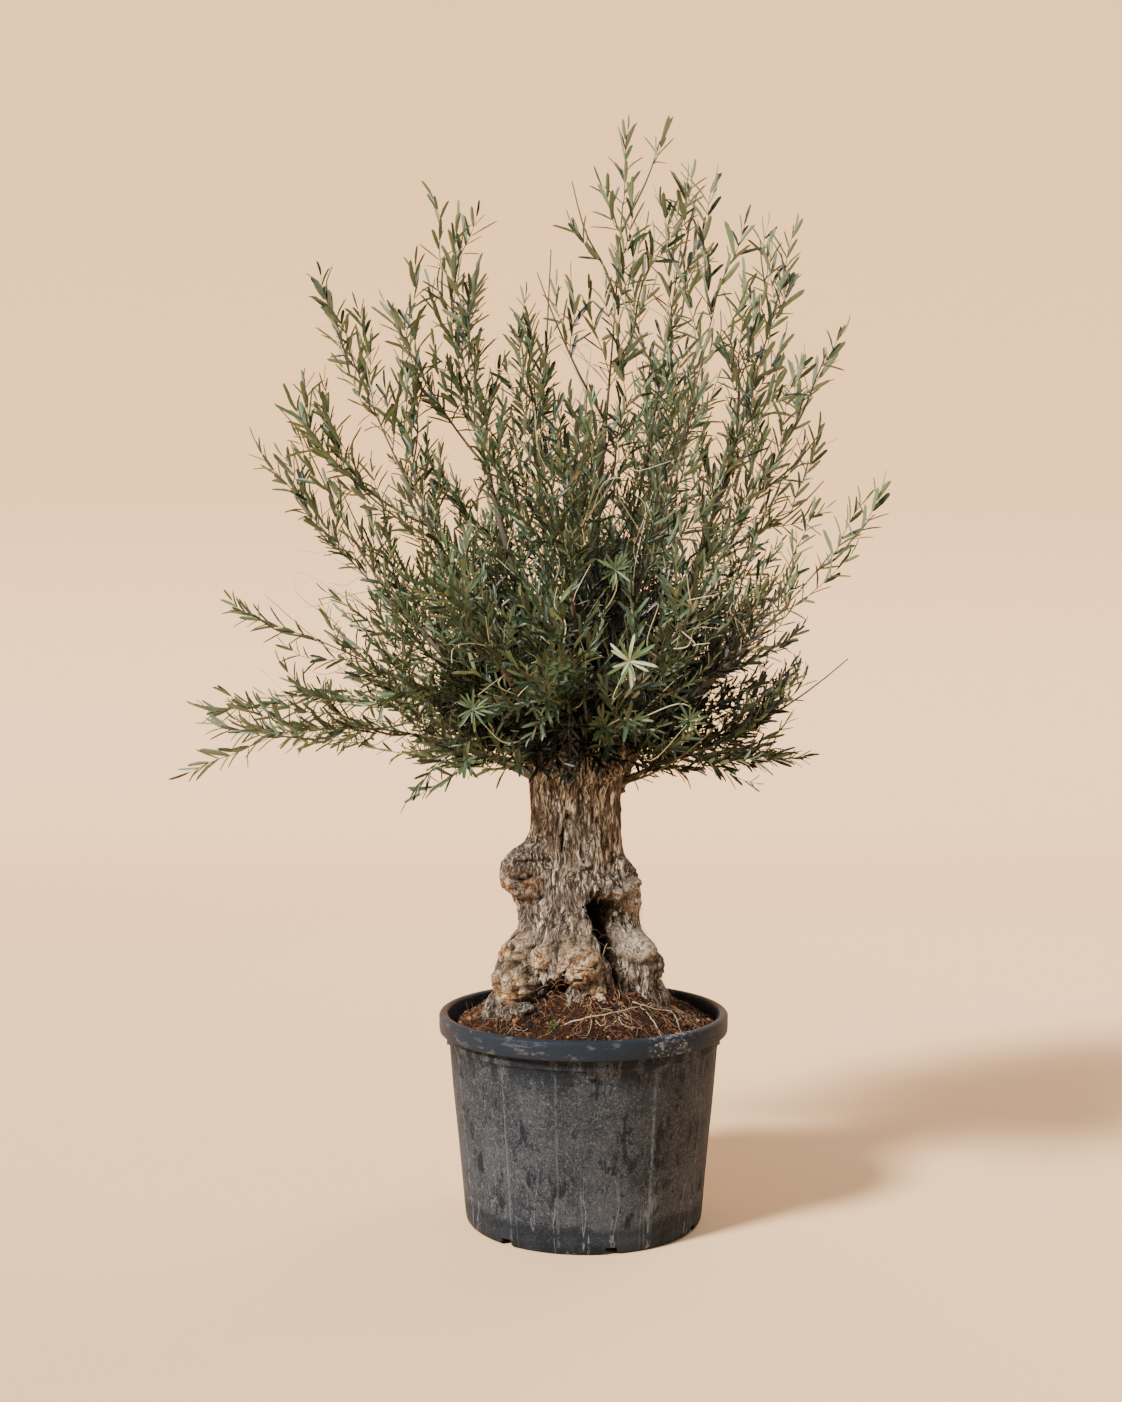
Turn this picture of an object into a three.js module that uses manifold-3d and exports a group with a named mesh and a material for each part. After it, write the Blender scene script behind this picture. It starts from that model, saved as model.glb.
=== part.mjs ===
// Olive tree in a round black nursery pot: pot, soil, gnarled trunk, boughs and
// airy masses of foliage. Millimetres, +Z up. The pot stands on z = 0 with its axis
// at x = y = 0, and the tree is looked at from -Y. Azimuths are in degrees, 0 to the
// right (+X), 90 to the back and 270 to the front.
import * as THREE from 'three';
import { mergeVertices } from 'three/addons/utils/BufferGeometryUtils.js';
import Module from 'manifold-3d';

const wasm = await Module();
wasm.setup();

// ---------------------------------------------------------------- driving sizes

const GAP = 0.3; // clearance between neighbouring pieces

const POT = {
  height: 431,
  rimRadius: 300, // outside of the rolled rim
  rimTop: 9, // flat on top of the rim
  rimBand: 38, // height of the rim's outer face
  rimRound: 8, // rounding over the rim's edges
  mouthRadius: 281, // outside of the wall just under the rim
  baseRadius: 245,
  baseCorner: 7, // rounding of the bottom corner
  wall: 3.5,
  footWidth: 7, // ring under the wall that the pot stands on
  padRadius: 190, // flat middle of the underside
  channel: 17, // height of the drain channel between pad and foot ring
  sides: 40,
};

const NOTCH = { count: 7, firstAzimuth: 282, width: 33, topWidth: 22, height: 15 };

const SOIL = {
  edge: 398, // level at the wall
  rise: 150, // of the cone that the soil would close to without the trunk
  mound: 40, // rise of the heap that leans on the trunk's front
  moundX: 30,
  moundY: -150,
  moundSpread: 70,
  waves: 2.5,
  ringStep: 46,
};

const GROUND = 395; // level of the trunk's flat cut, over the pot's underside

const TRUNK = {
  height: 700, // from the flat cut to the top of the head
  waist: 92, // radius at the narrowest place
  waistHeight: 470,
  flare: 112, // added to the waist radius at the foot
  head: 8, // added to the waist radius at the head
  shoulder: 620, // where the head starts to round over
  offset: 8, // the foot stands this far left of the pot's axis
  lean: 0.018, // and the axis leans left by this part of the height
  sides: 34,
  rings: 23,
};

// the fluting of the bark: depths of the five broad and nine fine flutes, how much
// deeper they are at the foot, and the height in which they turn by a radian
const FLUTES = { broad: 2.6, fine: 1.8, deeper: 1.6, twist: 260 };

// root buttresses: azimuth, how far each stands out at the ground, half width in degrees
const BUTTRESSES = [
  [196, 26, 17],
  [238, 12, 14],
  [330, 30, 18],
  [20, 16, 16],
  [70, 26, 18],
  [128, 22, 18],
];
const BUTTRESS_HEIGHT = 95;

// burls: azimuth, height, how far each stands out, half width along the bark
const BURLS = [
  [188, 326, 58, 56], // the big one on the left
  [206, 150, 30, 48],
  [268, 120, 30, 46], // over the hollow at the front of the foot
  [352, 290, 25, 52],
  [312, 300, 18, 26],
  [334, 158, 36, 48],
  [98, 245, 34, 50],
  [48, 150, 26, 46],
  [140, 420, 18, 40],
];

// hollows: azimuth, height, and the half width, half height and depth of each
const HOLLOWS = [
  [294, 222, 24, 46, 90], // the cavity on the right of the front
  [259, 412, 5.5, 38, 30], // the narrow slit under the head
  [252, 80, 30, 17, 46], // under the front burl
];

const ROOT_OFFSET = 38; // a shoot starts this far off the trunk's axis, inside the wood

// The main shoots, a row each: name; azimuth and reach of the tip round the trunk's
// axis; height of the tip and of the root over the ground; turn of the root from the
// tip's azimuth; the part of the length that is bare limb (0: foliage from the trunk
// on); radius at the root; and, for the middle one, its own root offset.
const LEADERS = [
  ['crown_top', 347, 92, 1860, 668, 0, 0.2, 22, 4],
  ['top_right', 27, 260, 1823, 650, 0, 0, 14],
  ['right_spire', 338, 327, 1684, 645, 0, 0, 14],
  ['outer_right_spire', 4, 443, 1674, 440, 26, 0.25, 39],
  ['upper_right', 20, 574, 1447, 610, 0, 0, 14],
  ['right', 346, 605, 1105, 525, -26, 0.22, 22],
  ['low_right', 22, 605, 895, 580, 44, 0, 13],
  ['right_skirt', 354, 500, 682, 476, -16, 0, 13],
  ['under_right', 327, 400, 520, 535, -14, 0, 12],
  ['centre_left', 214, 144, 1506, 665, 14, 0, 14],
  ['front_high', 266, 361, 1271, 640, 0, 0.2, 22],
  ['left_spire', 173, 317, 1734, 650, -16, 0.2, 22],
  ['upper_left', 184, 542, 1559, 610, 10, 0.2, 22],
  ['left', 173, 701, 1226, 590, -16, 0.22, 24],
  ['front_left_arm', 201, 612, 985, 580, 8, 0, 14],
  ['low_left', 178, 731, 870, 540, 2, 0.22, 24],
  ['left_skirt', 171, 791, 651, 520, -16, 0, 14],
  ['drooping_left', 186, 812, 530, 500, 10, 0, 14],
  ['under_left', 218, 422, 494, 525, 0, 0, 12],
  ['front_left', 238, 565, 942, 585, 0, 0.22, 22],
  ['front', 265, 582, 850, 570, 0, 0, 14],
  ['front_right', 299, 527, 943, 590, 0, 0.22, 22],
  ['low_front', 282, 470, 656, 535, 0, 0, 13],
  ['high_back_left', 132, 514, 1355, 620, 0, 0.2, 22],
  ['high_back_right', 56, 484, 1518, 625, 0, 0.2, 22],
  ['high_back', 87, 301, 1565, 650, 0, 0, 14],
  ['back', 85, 582, 1097, 590, 0, 0.22, 22],
  ['back_left', 133, 625, 901, 560, 0, 0, 14],
  ['back_right', 48, 622, 901, 560, 18, 0, 14],
  ['low_back', 104, 480, 620, 540, 0, 0, 13],
].map(([name, azimuth, reach, height, root, turn, bough, thick, offset = ROOT_OFFSET]) => ({
  name,
  azimuth,
  reach,
  height,
  root,
  turn,
  bough,
  thick,
  offset,
}));

const BOUGH = {
  sides: 6,
  rings: 3,
  tipRadius: 15,
  collar: [40, 8, 45], // swelling of the bark at the root: height over it, out, half width
};
const STEM = {
  sides: 3,
  rings: 5,
  radius: 14, // at its root, unless the shoot is thinner
  tipRadius: 3,
  bare: 0.04, // part without leaves at its root
};
const ARCH = { bend: 0.6, rise: 0.42, height: 0.3 }; // a shoot's bend: place, level, arching

const TWIG = {
  pitch: 125, // distance between twigs along a stem
  firstPlace: 0.05, // the first and last twig's place along the stem
  lastPlace: 0.92,
  longest: 0.4, // lengths as a part of the shoot's
  shortest: 0.15,
  wideLean: 46, // degrees off the shoot, first and last
  narrowLean: 24,
  rise: 0.16, // the end turns up by this part of the length
  radius: 5,
  tipRadius: 2.5,
  bare: 0.4, // part without leaves at its root
};

// A blade stands for a whole spray of leaves on its fine twig. Sizes that are given
// as a pair change evenly from a shoot's root to its tip.
const BLADE = {
  length: [205, 120],
  slenderness: 3.3, // length over width
  thickness: 0.03, // as a part of the length
  widest: 0.4, // place of the widest point along the blade
  pitch: 70, // distance between blades along a twig
  lean: [48, 30],
  endLean: 4, // of the last blade, which carries the twig's line on
  endPlace: 0.985, // the last blade's root, as a part of its twig's length
  endFill: 0.95, // part of the last blade's length that a shoot's stem leaves for it
  attempts: 6,
};

const SPACE = {
  margin: 4, // from the border with the next mass
  trunkClearance: 12,
  reach: [290, 70], // farthest from the shoot's line, at its root and at its tip
  shorter: [1, 0.72, 0.5],
};
const GOLDEN_TURN = 137.5;
const SEED = { first: 1001, step: 77 }; // each mass has its own
const SAMPLES = 14; // straight stretches that a shoot's line is measured by

// ------------------------------------------------------------------ small maths

const { lerp, clamp, smoothstep, degToRad } = THREE.MathUtils;
const UP = new THREE.Vector3(0, 0, 1);

/** The same simple random numbers anywhere: multiply, take the remainder, repeat. */
function randomSource(seed) {
  let state = seed;
  return () => {
    state = (state * 48271) % 2147483647;
    return state / 2147483647;
  };
}

function towards(azimuth, reach, height) {
  const angle = degToRad(azimuth);
  return new THREE.Vector3(reach * Math.cos(angle), reach * Math.sin(angle), height);
}

/** The angle from one azimuth to another, within 180 degrees either way. */
function turnBetween(from, to) {
  return ((((to - from) % 360) + 540) % 360) - 180;
}

// ------------------------------------------------------------- solids and meshes

/** A closed geometry as a solid, with shared vertices merged and empty faces dropped. */
function solidOf(geometry) {
  const bare = geometry.clone();
  bare.deleteAttribute('normal');
  bare.deleteAttribute('uv');
  const merged = mergeVertices(bare, 1e-3);
  const index = merged.index.array;
  const faces = [];
  for (let i = 0; i < index.length; i += 3) {
    const [a, b, c] = [index[i], index[i + 1], index[i + 2]];
    if (a !== b && b !== c && c !== a) faces.push(a, b, c);
  }
  const vertProperties = new Float32Array(merged.attributes.position.array);
  const triVerts = new Uint32Array(faces);
  return new wasm.Manifold(new wasm.Mesh({ numProp: 3, vertProperties, triVerts }));
}

function geometryOf(solid) {
  const mesh = solid.getMesh();
  const geometry = new THREE.BufferGeometry();
  geometry.setAttribute('position', new THREE.BufferAttribute(mesh.vertProperties, 3));
  geometry.setIndex(new THREE.BufferAttribute(mesh.triVerts, 1));
  return geometry;
}

/** The largest body of a solid, so that a loose scrap is dropped. */
function largestBody(solid) {
  const bodies = solid.decompose();
  bodies.sort((a, b) => b.volume() - a.volume());
  return bodies[0];
}

function namedMesh(name, solid, material) {
  const geometry = geometryOf(solid);
  geometry.computeVertexNormals();
  const mesh = new THREE.Mesh(geometry, material);
  mesh.name = name;
  return mesh;
}

/** Turns a profile of [radius, height] pairs, bottom first, round the Z axis. */
function turned(profile, sides) {
  const points = profile.map(([radius, height]) => new THREE.Vector2(radius, height));
  return new THREE.LatheGeometry(points, sides).rotateX(Math.PI / 2);
}

function moveVertices(geometry, place) {
  const position = geometry.attributes.position;
  const point = new THREE.Vector3();
  for (let i = 0; i < position.count; i++) {
    place(point.fromBufferAttribute(position, i));
    position.setXYZ(i, point.x, point.y, point.z);
  }
  return geometry;
}

// --------------------------------------------------------------------------- pot

/** Inside radius of the pot's wall at a height. */
function potBore(height) {
  const rise = (height - POT.baseCorner) / (POT.height - POT.rimBand - POT.baseCorner);
  return lerp(POT.baseRadius, POT.mouthRadius, rise) - POT.wall;
}

function potSolid() {
  const { height, rimRadius, rimTop, rimBand, rimRound, wall, channel, padRadius } = POT;
  const underRim = height - rimBand;
  const foot = POT.baseRadius - POT.baseCorner / 2;
  const rimMiddle = rimRadius - rimRound - rimTop;
  const raised = channel + wall;
  const shell = turned(
    [
      [0, 0],
      [padRadius, 0],
      [padRadius + wall, channel],
      [foot - POT.footWidth, channel],
      [foot - POT.footWidth, 0],
      [foot, 0],
      [POT.baseRadius, POT.baseCorner],
      [POT.mouthRadius, underRim],
      [rimRadius, underRim],
      [rimRadius - 1, height - rimRound],
      [rimRadius - rimRound, height],
      [rimMiddle, height],
      [potBore(underRim) + rimRound / 2, height - rimRound],
      [potBore(underRim), underRim],
      [potBore(raised), raised],
      [padRadius, raised],
      [padRadius - wall, wall],
      [0, wall],
    ],
    POT.sides,
  );
  let pot = solidOf(shell);
  for (let i = 0; i < NOTCH.count; i++) {
    pot = pot.subtract(notchCutter(NOTCH.firstAzimuth + (i * 360) / NOTCH.count));
  }
  return pot;
}

/** A tapered prism across the foot ring, which leaves a drain notch there. */
function notchCutter(azimuth) {
  const outline = new THREE.Shape([
    new THREE.Vector2(-NOTCH.width / 2, -1),
    new THREE.Vector2(NOTCH.width / 2, -1),
    new THREE.Vector2(NOTCH.topWidth / 2, NOTCH.height),
    new THREE.Vector2(-NOTCH.topWidth / 2, NOTCH.height),
  ]);
  const depth = 2 * POT.footWidth + POT.baseCorner;
  const prism = new THREE.ExtrudeGeometry(outline, { depth, bevelEnabled: false });
  const out = towards(azimuth, 1, 0);
  const along = new THREE.Vector3().crossVectors(UP, out);
  const place = new THREE.Matrix4().makeBasis(along, UP, out);
  place.setPosition(out.multiplyScalar(POT.baseRadius - POT.baseCorner - POT.footWidth - 3));
  return solidOf(prism.applyMatrix4(place));
}

// -------------------------------------------------------------------------- soil

function soilLevel(x, y) {
  const fromAxis = Math.hypot(x, y) / potBore(SOIL.edge);
  const fromMound = Math.hypot(x - SOIL.moundX, y - SOIL.moundY) / SOIL.moundSpread;
  const waves = SOIL.waves * Math.sin(x / 31) * Math.cos(y / 23);
  const rise = SOIL.rise * (1 - fromAxis) + SOIL.mound * Math.exp(-0.5 * fromMound * fromMound);
  return SOIL.edge + rise + waves;
}

/** Fills the pot up to the mound, with a pocket that the trunk's foot stands in. */
function soilSolid(trunkPocket) {
  const floor = POT.wall + GAP;
  const raised = floor + POT.channel;
  const rings = [];
  for (let radius = potBore(SOIL.edge) - GAP; radius > 0; radius -= SOIL.ringStep) {
    rings.push([radius, SOIL.edge]);
  }
  const fill = turned(
    [
      [0, floor],
      [POT.padRadius - POT.wall - GAP, floor],
      [POT.padRadius - GAP, raised],
      [potBore(raised) - GAP, raised],
      ...rings,
      [0, SOIL.edge],
    ],
    POT.sides,
  );
  moveVertices(fill, (point) => {
    if (point.z > SOIL.edge - 1) point.z = soilLevel(point.x, point.y);
  });
  return solidOf(fill).subtract(trunkPocket);
}

// ------------------------------------------------------------------------- trunk

/** A rounded knob that fades to nothing past its half width. */
function knob(azimuth, height, spot, radius) {
  const [spotAzimuth, spotHeight, out, halfWidth] = spot;
  const around = degToRad(turnBetween(azimuth, spotAzimuth)) * radius;
  const distance = Math.hypot(around, height - spotHeight) / halfWidth;
  return out * Math.exp(-Math.pow(distance, 3));
}

function trunkColumn(height) {
  const below = Math.max(0, 1 - height / TRUNK.waistHeight);
  const above = smoothstep(height, TRUNK.waistHeight, TRUNK.shoulder);
  return TRUNK.waist + TRUNK.flare * below * below + TRUNK.head * above;
}

/** Radius of the bark about the bowed axis. */
function trunkRadius(azimuth, height) {
  const column = trunkColumn(height);
  const angle = degToRad(azimuth);
  const twist = height / FLUTES.twist;
  const depth = 1 + FLUTES.deeper * Math.max(0, 1 - height / TRUNK.waistHeight);
  let radius = column;
  radius += depth * FLUTES.broad * Math.cos(5 * angle + twist);
  radius += depth * FLUTES.fine * Math.cos(9 * angle - 0.7 - twist);
  for (const [at, out, halfWidth] of BUTTRESSES) {
    const across = turnBetween(azimuth, at) / halfWidth;
    const fade = height / BUTTRESS_HEIGHT;
    radius += out * Math.exp(-across * across - fade * fade);
  }
  for (const burl of BURLS) radius += knob(azimuth, height, burl, column);
  for (const leader of LEADERS) {
    if (leader.bough > 0) {
      const [over, out, halfWidth] = BOUGH.collar;
      const spot = [leader.azimuth + leader.turn, leader.root + over, out, halfWidth];
      radius += knob(azimuth, height, spot, column);
    }
  }
  const over = clamp((height - TRUNK.shoulder) / (TRUNK.height - TRUNK.shoulder), 0, 1);
  return radius * Math.sqrt(1 - over * over);
}

function trunkAxis(height) {
  return new THREE.Vector3(-TRUNK.offset - TRUNK.lean * height, 0, height);
}

/** The trunk's skin. A clearance grows it evenly, to cut whatever leans on it. */
function trunkGeometry(clearance = 0) {
  const profile = [[0, 0]];
  for (let ring = 0; ring < TRUNK.rings; ring++) {
    // rings close up towards the top, where the head rounds over
    const share = ring / TRUNK.rings;
    profile.push([1, TRUNK.height * (share + 0.5 * share * share * (1 - share))]);
  }
  profile.push([0, TRUNK.height]);
  const grow = 1 + (2 * clearance) / TRUNK.height;
  return moveVertices(turned(profile, TRUNK.sides), (point) => {
    const azimuth = THREE.MathUtils.radToDeg(Math.atan2(point.y, point.x));
    const onSkin = Math.hypot(point.x, point.y);
    const radius = onSkin * (trunkRadius(azimuth, point.z) + clearance);
    const axis = trunkAxis(point.z);
    point.copy(towards(azimuth, radius, 0)).add(axis);
    point.z = point.z * grow - clearance;
  });
}

function trunkSolid() {
  let trunk = solidOf(trunkGeometry());
  for (const [azimuth, height, halfWidth, halfHeight, depth] of HOLLOWS) {
    const surface = trunkRadius(azimuth, height);
    const ball = new THREE.SphereGeometry(1, 10, 8).rotateX(Math.PI / 2);
    ball.scale(depth, halfWidth, halfHeight);
    ball.rotateZ(degToRad(azimuth));
    ball.translate(...towards(azimuth, surface, 0).add(trunkAxis(height)));
    trunk = trunk.subtract(solidOf(ball));
  }
  return largestBody(trunk);
}

// ------------------------------------------------------------------ limbs, leaders

/** A side and an upward direction square to a tangent. */
function crossFrame(tangent) {
  const flat = Math.abs(tangent.z) > 0.999 ? new THREE.Vector3(0, 1, 0) : UP;
  const side = new THREE.Vector3().crossVectors(tangent, flat).normalize();
  const raised = new THREE.Vector3().crossVectors(side, tangent);
  return { side, raised };
}

/** A tapering limb along a curve, between two places given as parts of its length. */
function limbSolid(curve, from, to, rootRadius, tipRadius, sides, rings) {
  const bar = new THREE.CylinderGeometry(tipRadius, rootRadius, 1, sides, rings);
  moveVertices(bar, (point) => {
    const place = lerp(from, to, point.y + 0.5);
    const { side, raised } = crossFrame(curve.getTangentAt(place));
    const { x, z } = point;
    point.copy(curve.getPointAt(place)).addScaledVector(side, x).addScaledVector(raised, z);
  });
  return solidOf(bar);
}

/** The straight stretches between a limb's rings, where blades and twigs are rooted. */
function chords(curve, from, to, rings) {
  const path = new THREE.CurvePath();
  for (let i = 0; i < rings; i++) {
    const start = curve.getPointAt(lerp(from, to, i / rings));
    const end = curve.getPointAt(lerp(from, to, (i + 1) / rings));
    path.add(new THREE.LineCurve3(start, end));
  }
  return path;
}

/** A shoot's line: out of the trunk's head, then bending up, or arching over if low. */
function leaderCurve({ azimuth, reach, height, root, turn, offset }) {
  const start = towards(azimuth + turn, offset, 0).add(trunkAxis(root));
  const end = towards(azimuth, reach, height);
  const run = reach - ROOT_OFFSET;
  const rise = height - root;
  const arch = ARCH.height * run * (1 - clamp(rise / run, 0, 1));
  const middle = start.clone().lerp(end, ARCH.bend);
  middle.z = root + ARCH.rise * rise + arch;
  return new THREE.QuadraticBezierCurve3(start, middle, end);
}

/** Where a curve comes out through the trunk's bark. */
function exitFromTrunk(curve) {
  let t = 0;
  while (distanceFromTrunk(curve.getPointAt(t)) < 0) t += 0.01;
  return t;
}

/** Rough distance of a point from the bark, negative inside the wood. */
function distanceFromTrunk(point) {
  const height = clamp(point.z, 0, TRUNK.height);
  const axis = trunkAxis(height);
  const away = Math.hypot(point.x - axis.x, point.y - axis.y);
  const azimuth = THREE.MathUtils.radToDeg(Math.atan2(point.y - axis.y, point.x - axis.x));
  const beside = away - trunkRadius(azimuth, height);
  const over = point.z - TRUNK.height;
  return over > 0 ? Math.hypot(over, Math.max(beside, 0)) : beside;
}

for (const leader of LEADERS) {
  leader.curve = leaderCurve(leader);
  leader.line = leader.curve.getPoints(SAMPLES);
  leader.length = leader.curve.getLength();
  leader.exit = exitFromTrunk(leader.curve);
  leader.boughEnd = leader.exit + leader.bough * (1 - leader.exit);
  leader.stemEnd = 1 - (BLADE.endFill * BLADE.length[1]) / leader.length;
}

/** How far a point is from a shoot's line, and at what part of its length. */
function nearestOnLeader(point, leader) {
  const stretch = new THREE.Line3();
  const nearest = new THREE.Vector3();
  const found = { distance: Infinity, place: 0 };
  for (let i = 0; i < SAMPLES; i++) {
    stretch.set(leader.line[i], leader.line[i + 1]);
    const along = stretch.closestPointToPointParameter(point, true);
    const distance = stretch.at(along, nearest).distanceTo(point);
    if (distance < found.distance) Object.assign(found, { distance, place: (i + along) / SAMPLES });
  }
  return found;
}

/** True within a shoot's reach, nearer to it than to any other, and off the trunk. */
function inOwnSpace(point, owner) {
  if (distanceFromTrunk(point) < SPACE.trunkClearance) return false;
  const { distance, place } = nearestOnLeader(point, owner);
  if (distance > lerp(...SPACE.reach, place * place)) return false;
  return LEADERS.every(
    (other) => other === owner || distance + SPACE.margin < nearestOnLeader(point, other).distance,
  );
}

// ----------------------------------------------------------------------- foliage

/** A direction that leans off the tangent, turned about it. */
function leaning(tangent, turn, lean) {
  const { side, raised } = crossFrame(tangent);
  const round = degToRad(turn);
  const off = degToRad(lean);
  return tangent
    .clone()
    .multiplyScalar(Math.cos(off))
    .addScaledVector(raised, Math.sin(off) * Math.cos(round))
    .addScaledVector(side, Math.sin(off) * Math.sin(round));
}

/** The side twigs of one shoot, each shortened or skipped where it leaves the space. */
function twigsOf(stem, leader, random) {
  const count = Math.max(2, Math.round(stem.getLength() / TWIG.pitch));
  const twigs = [];
  for (let i = 0; i < count; i++) {
    const share = i / (count - 1);
    const place = lerp(TWIG.firstPlace, TWIG.lastPlace, share);
    const turn = i * GOLDEN_TURN + 360 * random();
    const lean = lerp(TWIG.wideLean, TWIG.narrowLean, share);
    const spread = lerp(TWIG.longest, TWIG.shortest, share) * lerp(0.85, 1.15, random());
    const base = stem.getPoint(place);
    const reach = leaning(stem.getTangent(place), turn, lean);
    reach.addScaledVector(UP, TWIG.rise).multiplyScalar(leader.length * spread);
    for (const shorter of SPACE.shorter) {
      const twig = new THREE.LineCurve3(base, base.clone().addScaledVector(reach, shorter));
      if (twig.getPoints(4).slice(1).every((point) => inOwnSpace(point, leader))) {
        twigs.push(twig);
        break;
      }
    }
  }
  return twigs;
}

/** One blade: a flat ridged diamond with its root on the twig's axis. */
function bladeAt(root, direction, length, roll) {
  const { side, raised } = crossFrame(direction);
  const across = side.multiplyScalar(Math.cos(roll)).addScaledVector(raised, Math.sin(roll));
  const normal = new THREE.Vector3().crossVectors(direction, across);
  const halfWidth = length / BLADE.slenderness / Math.sqrt(3);
  const halfDepth = (length * BLADE.thickness) / 1.5;
  const diamond = turned([[0, 0], [1, BLADE.widest], [0, 1]], 3);
  return moveVertices(diamond, (point) => {
    const { x, y, z } = point;
    point.copy(root).addScaledVector(direction, z * length);
    point.addScaledVector(across, x * halfWidth).addScaledVector(normal, y * halfDepth);
  });
}

/** True where the blade's corners, and the points halfway to them, are in the space. */
function bladeFits(blade, root, leader) {
  const position = blade.attributes.position;
  const corner = new THREE.Vector3();
  for (let i = 0; i < position.count; i++) {
    corner.fromBufferAttribute(position, i);
    if (corner.distanceTo(root) < 1) continue;
    if (!inOwnSpace(corner, leader)) return false;
    if (!inOwnSpace(corner.lerp(root, 0.5), leader)) return false;
  }
  return true;
}

/** True where a blade is clear of all the pieces given. */
function clearOf(blade, pieces) {
  return pieces.every((piece) => blade.intersect(piece).isEmpty());
}

/** Blades along one twig of a shoot, with one more at its end. */
function bladesAlong(twig, leader, others, random) {
  const { curve, from } = twig;
  const count = Math.max(1, Math.round(((1 - from) * curve.getLength()) / BLADE.pitch));
  const blades = [];
  for (let i = 0; i <= count; i++) {
    const last = i === count;
    const place = last ? BLADE.endPlace : lerp(from, 1, (i + 0.3 * random()) / count);
    const root = curve.getPoint(place);
    const along = nearestOnLeader(root, leader).place;
    for (let attempt = 0; attempt < BLADE.attempts; attempt++) {
      const spread = lerp(...BLADE.lean, along) * lerp(0.85, 1.15, random());
      const lean = last ? BLADE.endLean : spread;
      const turn = i * GOLDEN_TURN + 90 * attempt + 40 * random();
      const direction = leaning(curve.getTangent(place), turn, lean);
      const size = lerp(...BLADE.length, along) * (1 - 0.12 * attempt);
      const blade = bladeAt(root, direction, size, Math.PI * random());
      if (!bladeFits(blade, root, leader)) continue;
      const solid = solidOf(blade);
      if (clearOf(solid, others) && clearOf(solid, blades)) {
        blades.push(solid);
        break;
      }
    }
  }
  return blades;
}

/** One mass of foliage: stem, side twigs and blades fused into one body. */
function massSolid(leader, seed, trunkClearance) {
  const random = randomSource(seed);
  const { curve, boughEnd, exit, stemEnd, thick } = leader;
  const onBough = leader.bough > 0;
  const start = onBough ? boughEnd + GAP / leader.length : exit * 0.5;
  const radius = Math.min(STEM.radius, thick);
  const stem = limbSolid(curve, start, stemEnd, radius, STEM.tipRadius, STEM.sides, STEM.rings);
  const stemPath = chords(curve, start, stemEnd, STEM.rings);
  const inTrunk = onBough ? 0 : (exit - start) / (stemEnd - start);
  const from = STEM.bare + inTrunk;
  const twigs = [{ curve: stemPath, from, solid: stem.subtract(trunkClearance) }];
  for (const side of twigsOf(stemPath, leader, random)) {
    const solid = limbSolid(side, 0, 1, TWIG.radius, TWIG.tipRadius, STEM.sides, 1);
    twigs.push({ curve: side, from: TWIG.bare, solid });
  }
  const blades = [];
  for (const twig of twigs) {
    const others = twigs.filter((other) => other !== twig).map((other) => other.solid);
    blades.push(...bladesAlong(twig, leader, [...others, ...blades], random));
  }
  return largestBody(wasm.Manifold.union([...twigs.map((twig) => twig.solid), ...blades]));
}

function boughSolid(leader, trunkClearance) {
  const { curve, exit, boughEnd, thick } = leader;
  const { sides, rings, tipRadius } = BOUGH;
  const limb = limbSolid(curve, exit / 2, boughEnd, thick, tipRadius, sides, rings);
  return largestBody(limb.subtract(trunkClearance));
}

// ---------------------------------------------------------------------- assembly

const plastic = new THREE.MeshStandardMaterial({ color: '#34363a', roughness: 0.65, metalness: 0 });
const peat = new THREE.MeshStandardMaterial({ color: '#7a4a2e', roughness: 0.95, metalness: 0 });
const bark = new THREE.MeshStandardMaterial({ color: '#6e5d4e', roughness: 0.9, metalness: 0 });
const leaf = new THREE.MeshStandardMaterial({ color: '#5e7156', roughness: 0.6, metalness: 0 });

const grownTrunk = trunkGeometry(2 * GAP);
const trunkClearance = solidOf(grownTrunk);
const trunkPocket = solidOf(grownTrunk.clone().translate(0, 0, GROUND));

const pot = new THREE.Group();
pot.add(namedMesh('pot', potSolid(), plastic));
pot.add(namedMesh('soil', soilSolid(trunkPocket), peat));

const tree = new THREE.Group();
tree.position.z = GROUND;
tree.add(namedMesh('trunk', trunkSolid(), bark));
LEADERS.forEach((leader, index) => {
  if (leader.bough > 0) {
    tree.add(namedMesh(`bough_${leader.name}`, boughSolid(leader, trunkClearance), bark));
  }
  const mass = massSolid(leader, SEED.first + SEED.step * index, trunkClearance);
  tree.add(namedMesh(`foliage_${leader.name}`, mass, leaf));
});

const oliveTree = new THREE.Group();
oliveTree.add(pot, tree);

export default oliveTree;
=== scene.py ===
"""Old olive tree in a black nursery pot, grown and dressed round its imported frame.

The frame is in metres, +Z up: the pot stands on z = 0 round x = y = 0, and the tree is
looked at from -Y. Azimuths are in degrees, 0 to the right (+X), 90 to the back and 270
to the front. Growth is worked out in millimetres, with heights over the trunk's flat
cut, and is turned to metres where a mesh is made.
"""

import math

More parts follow.
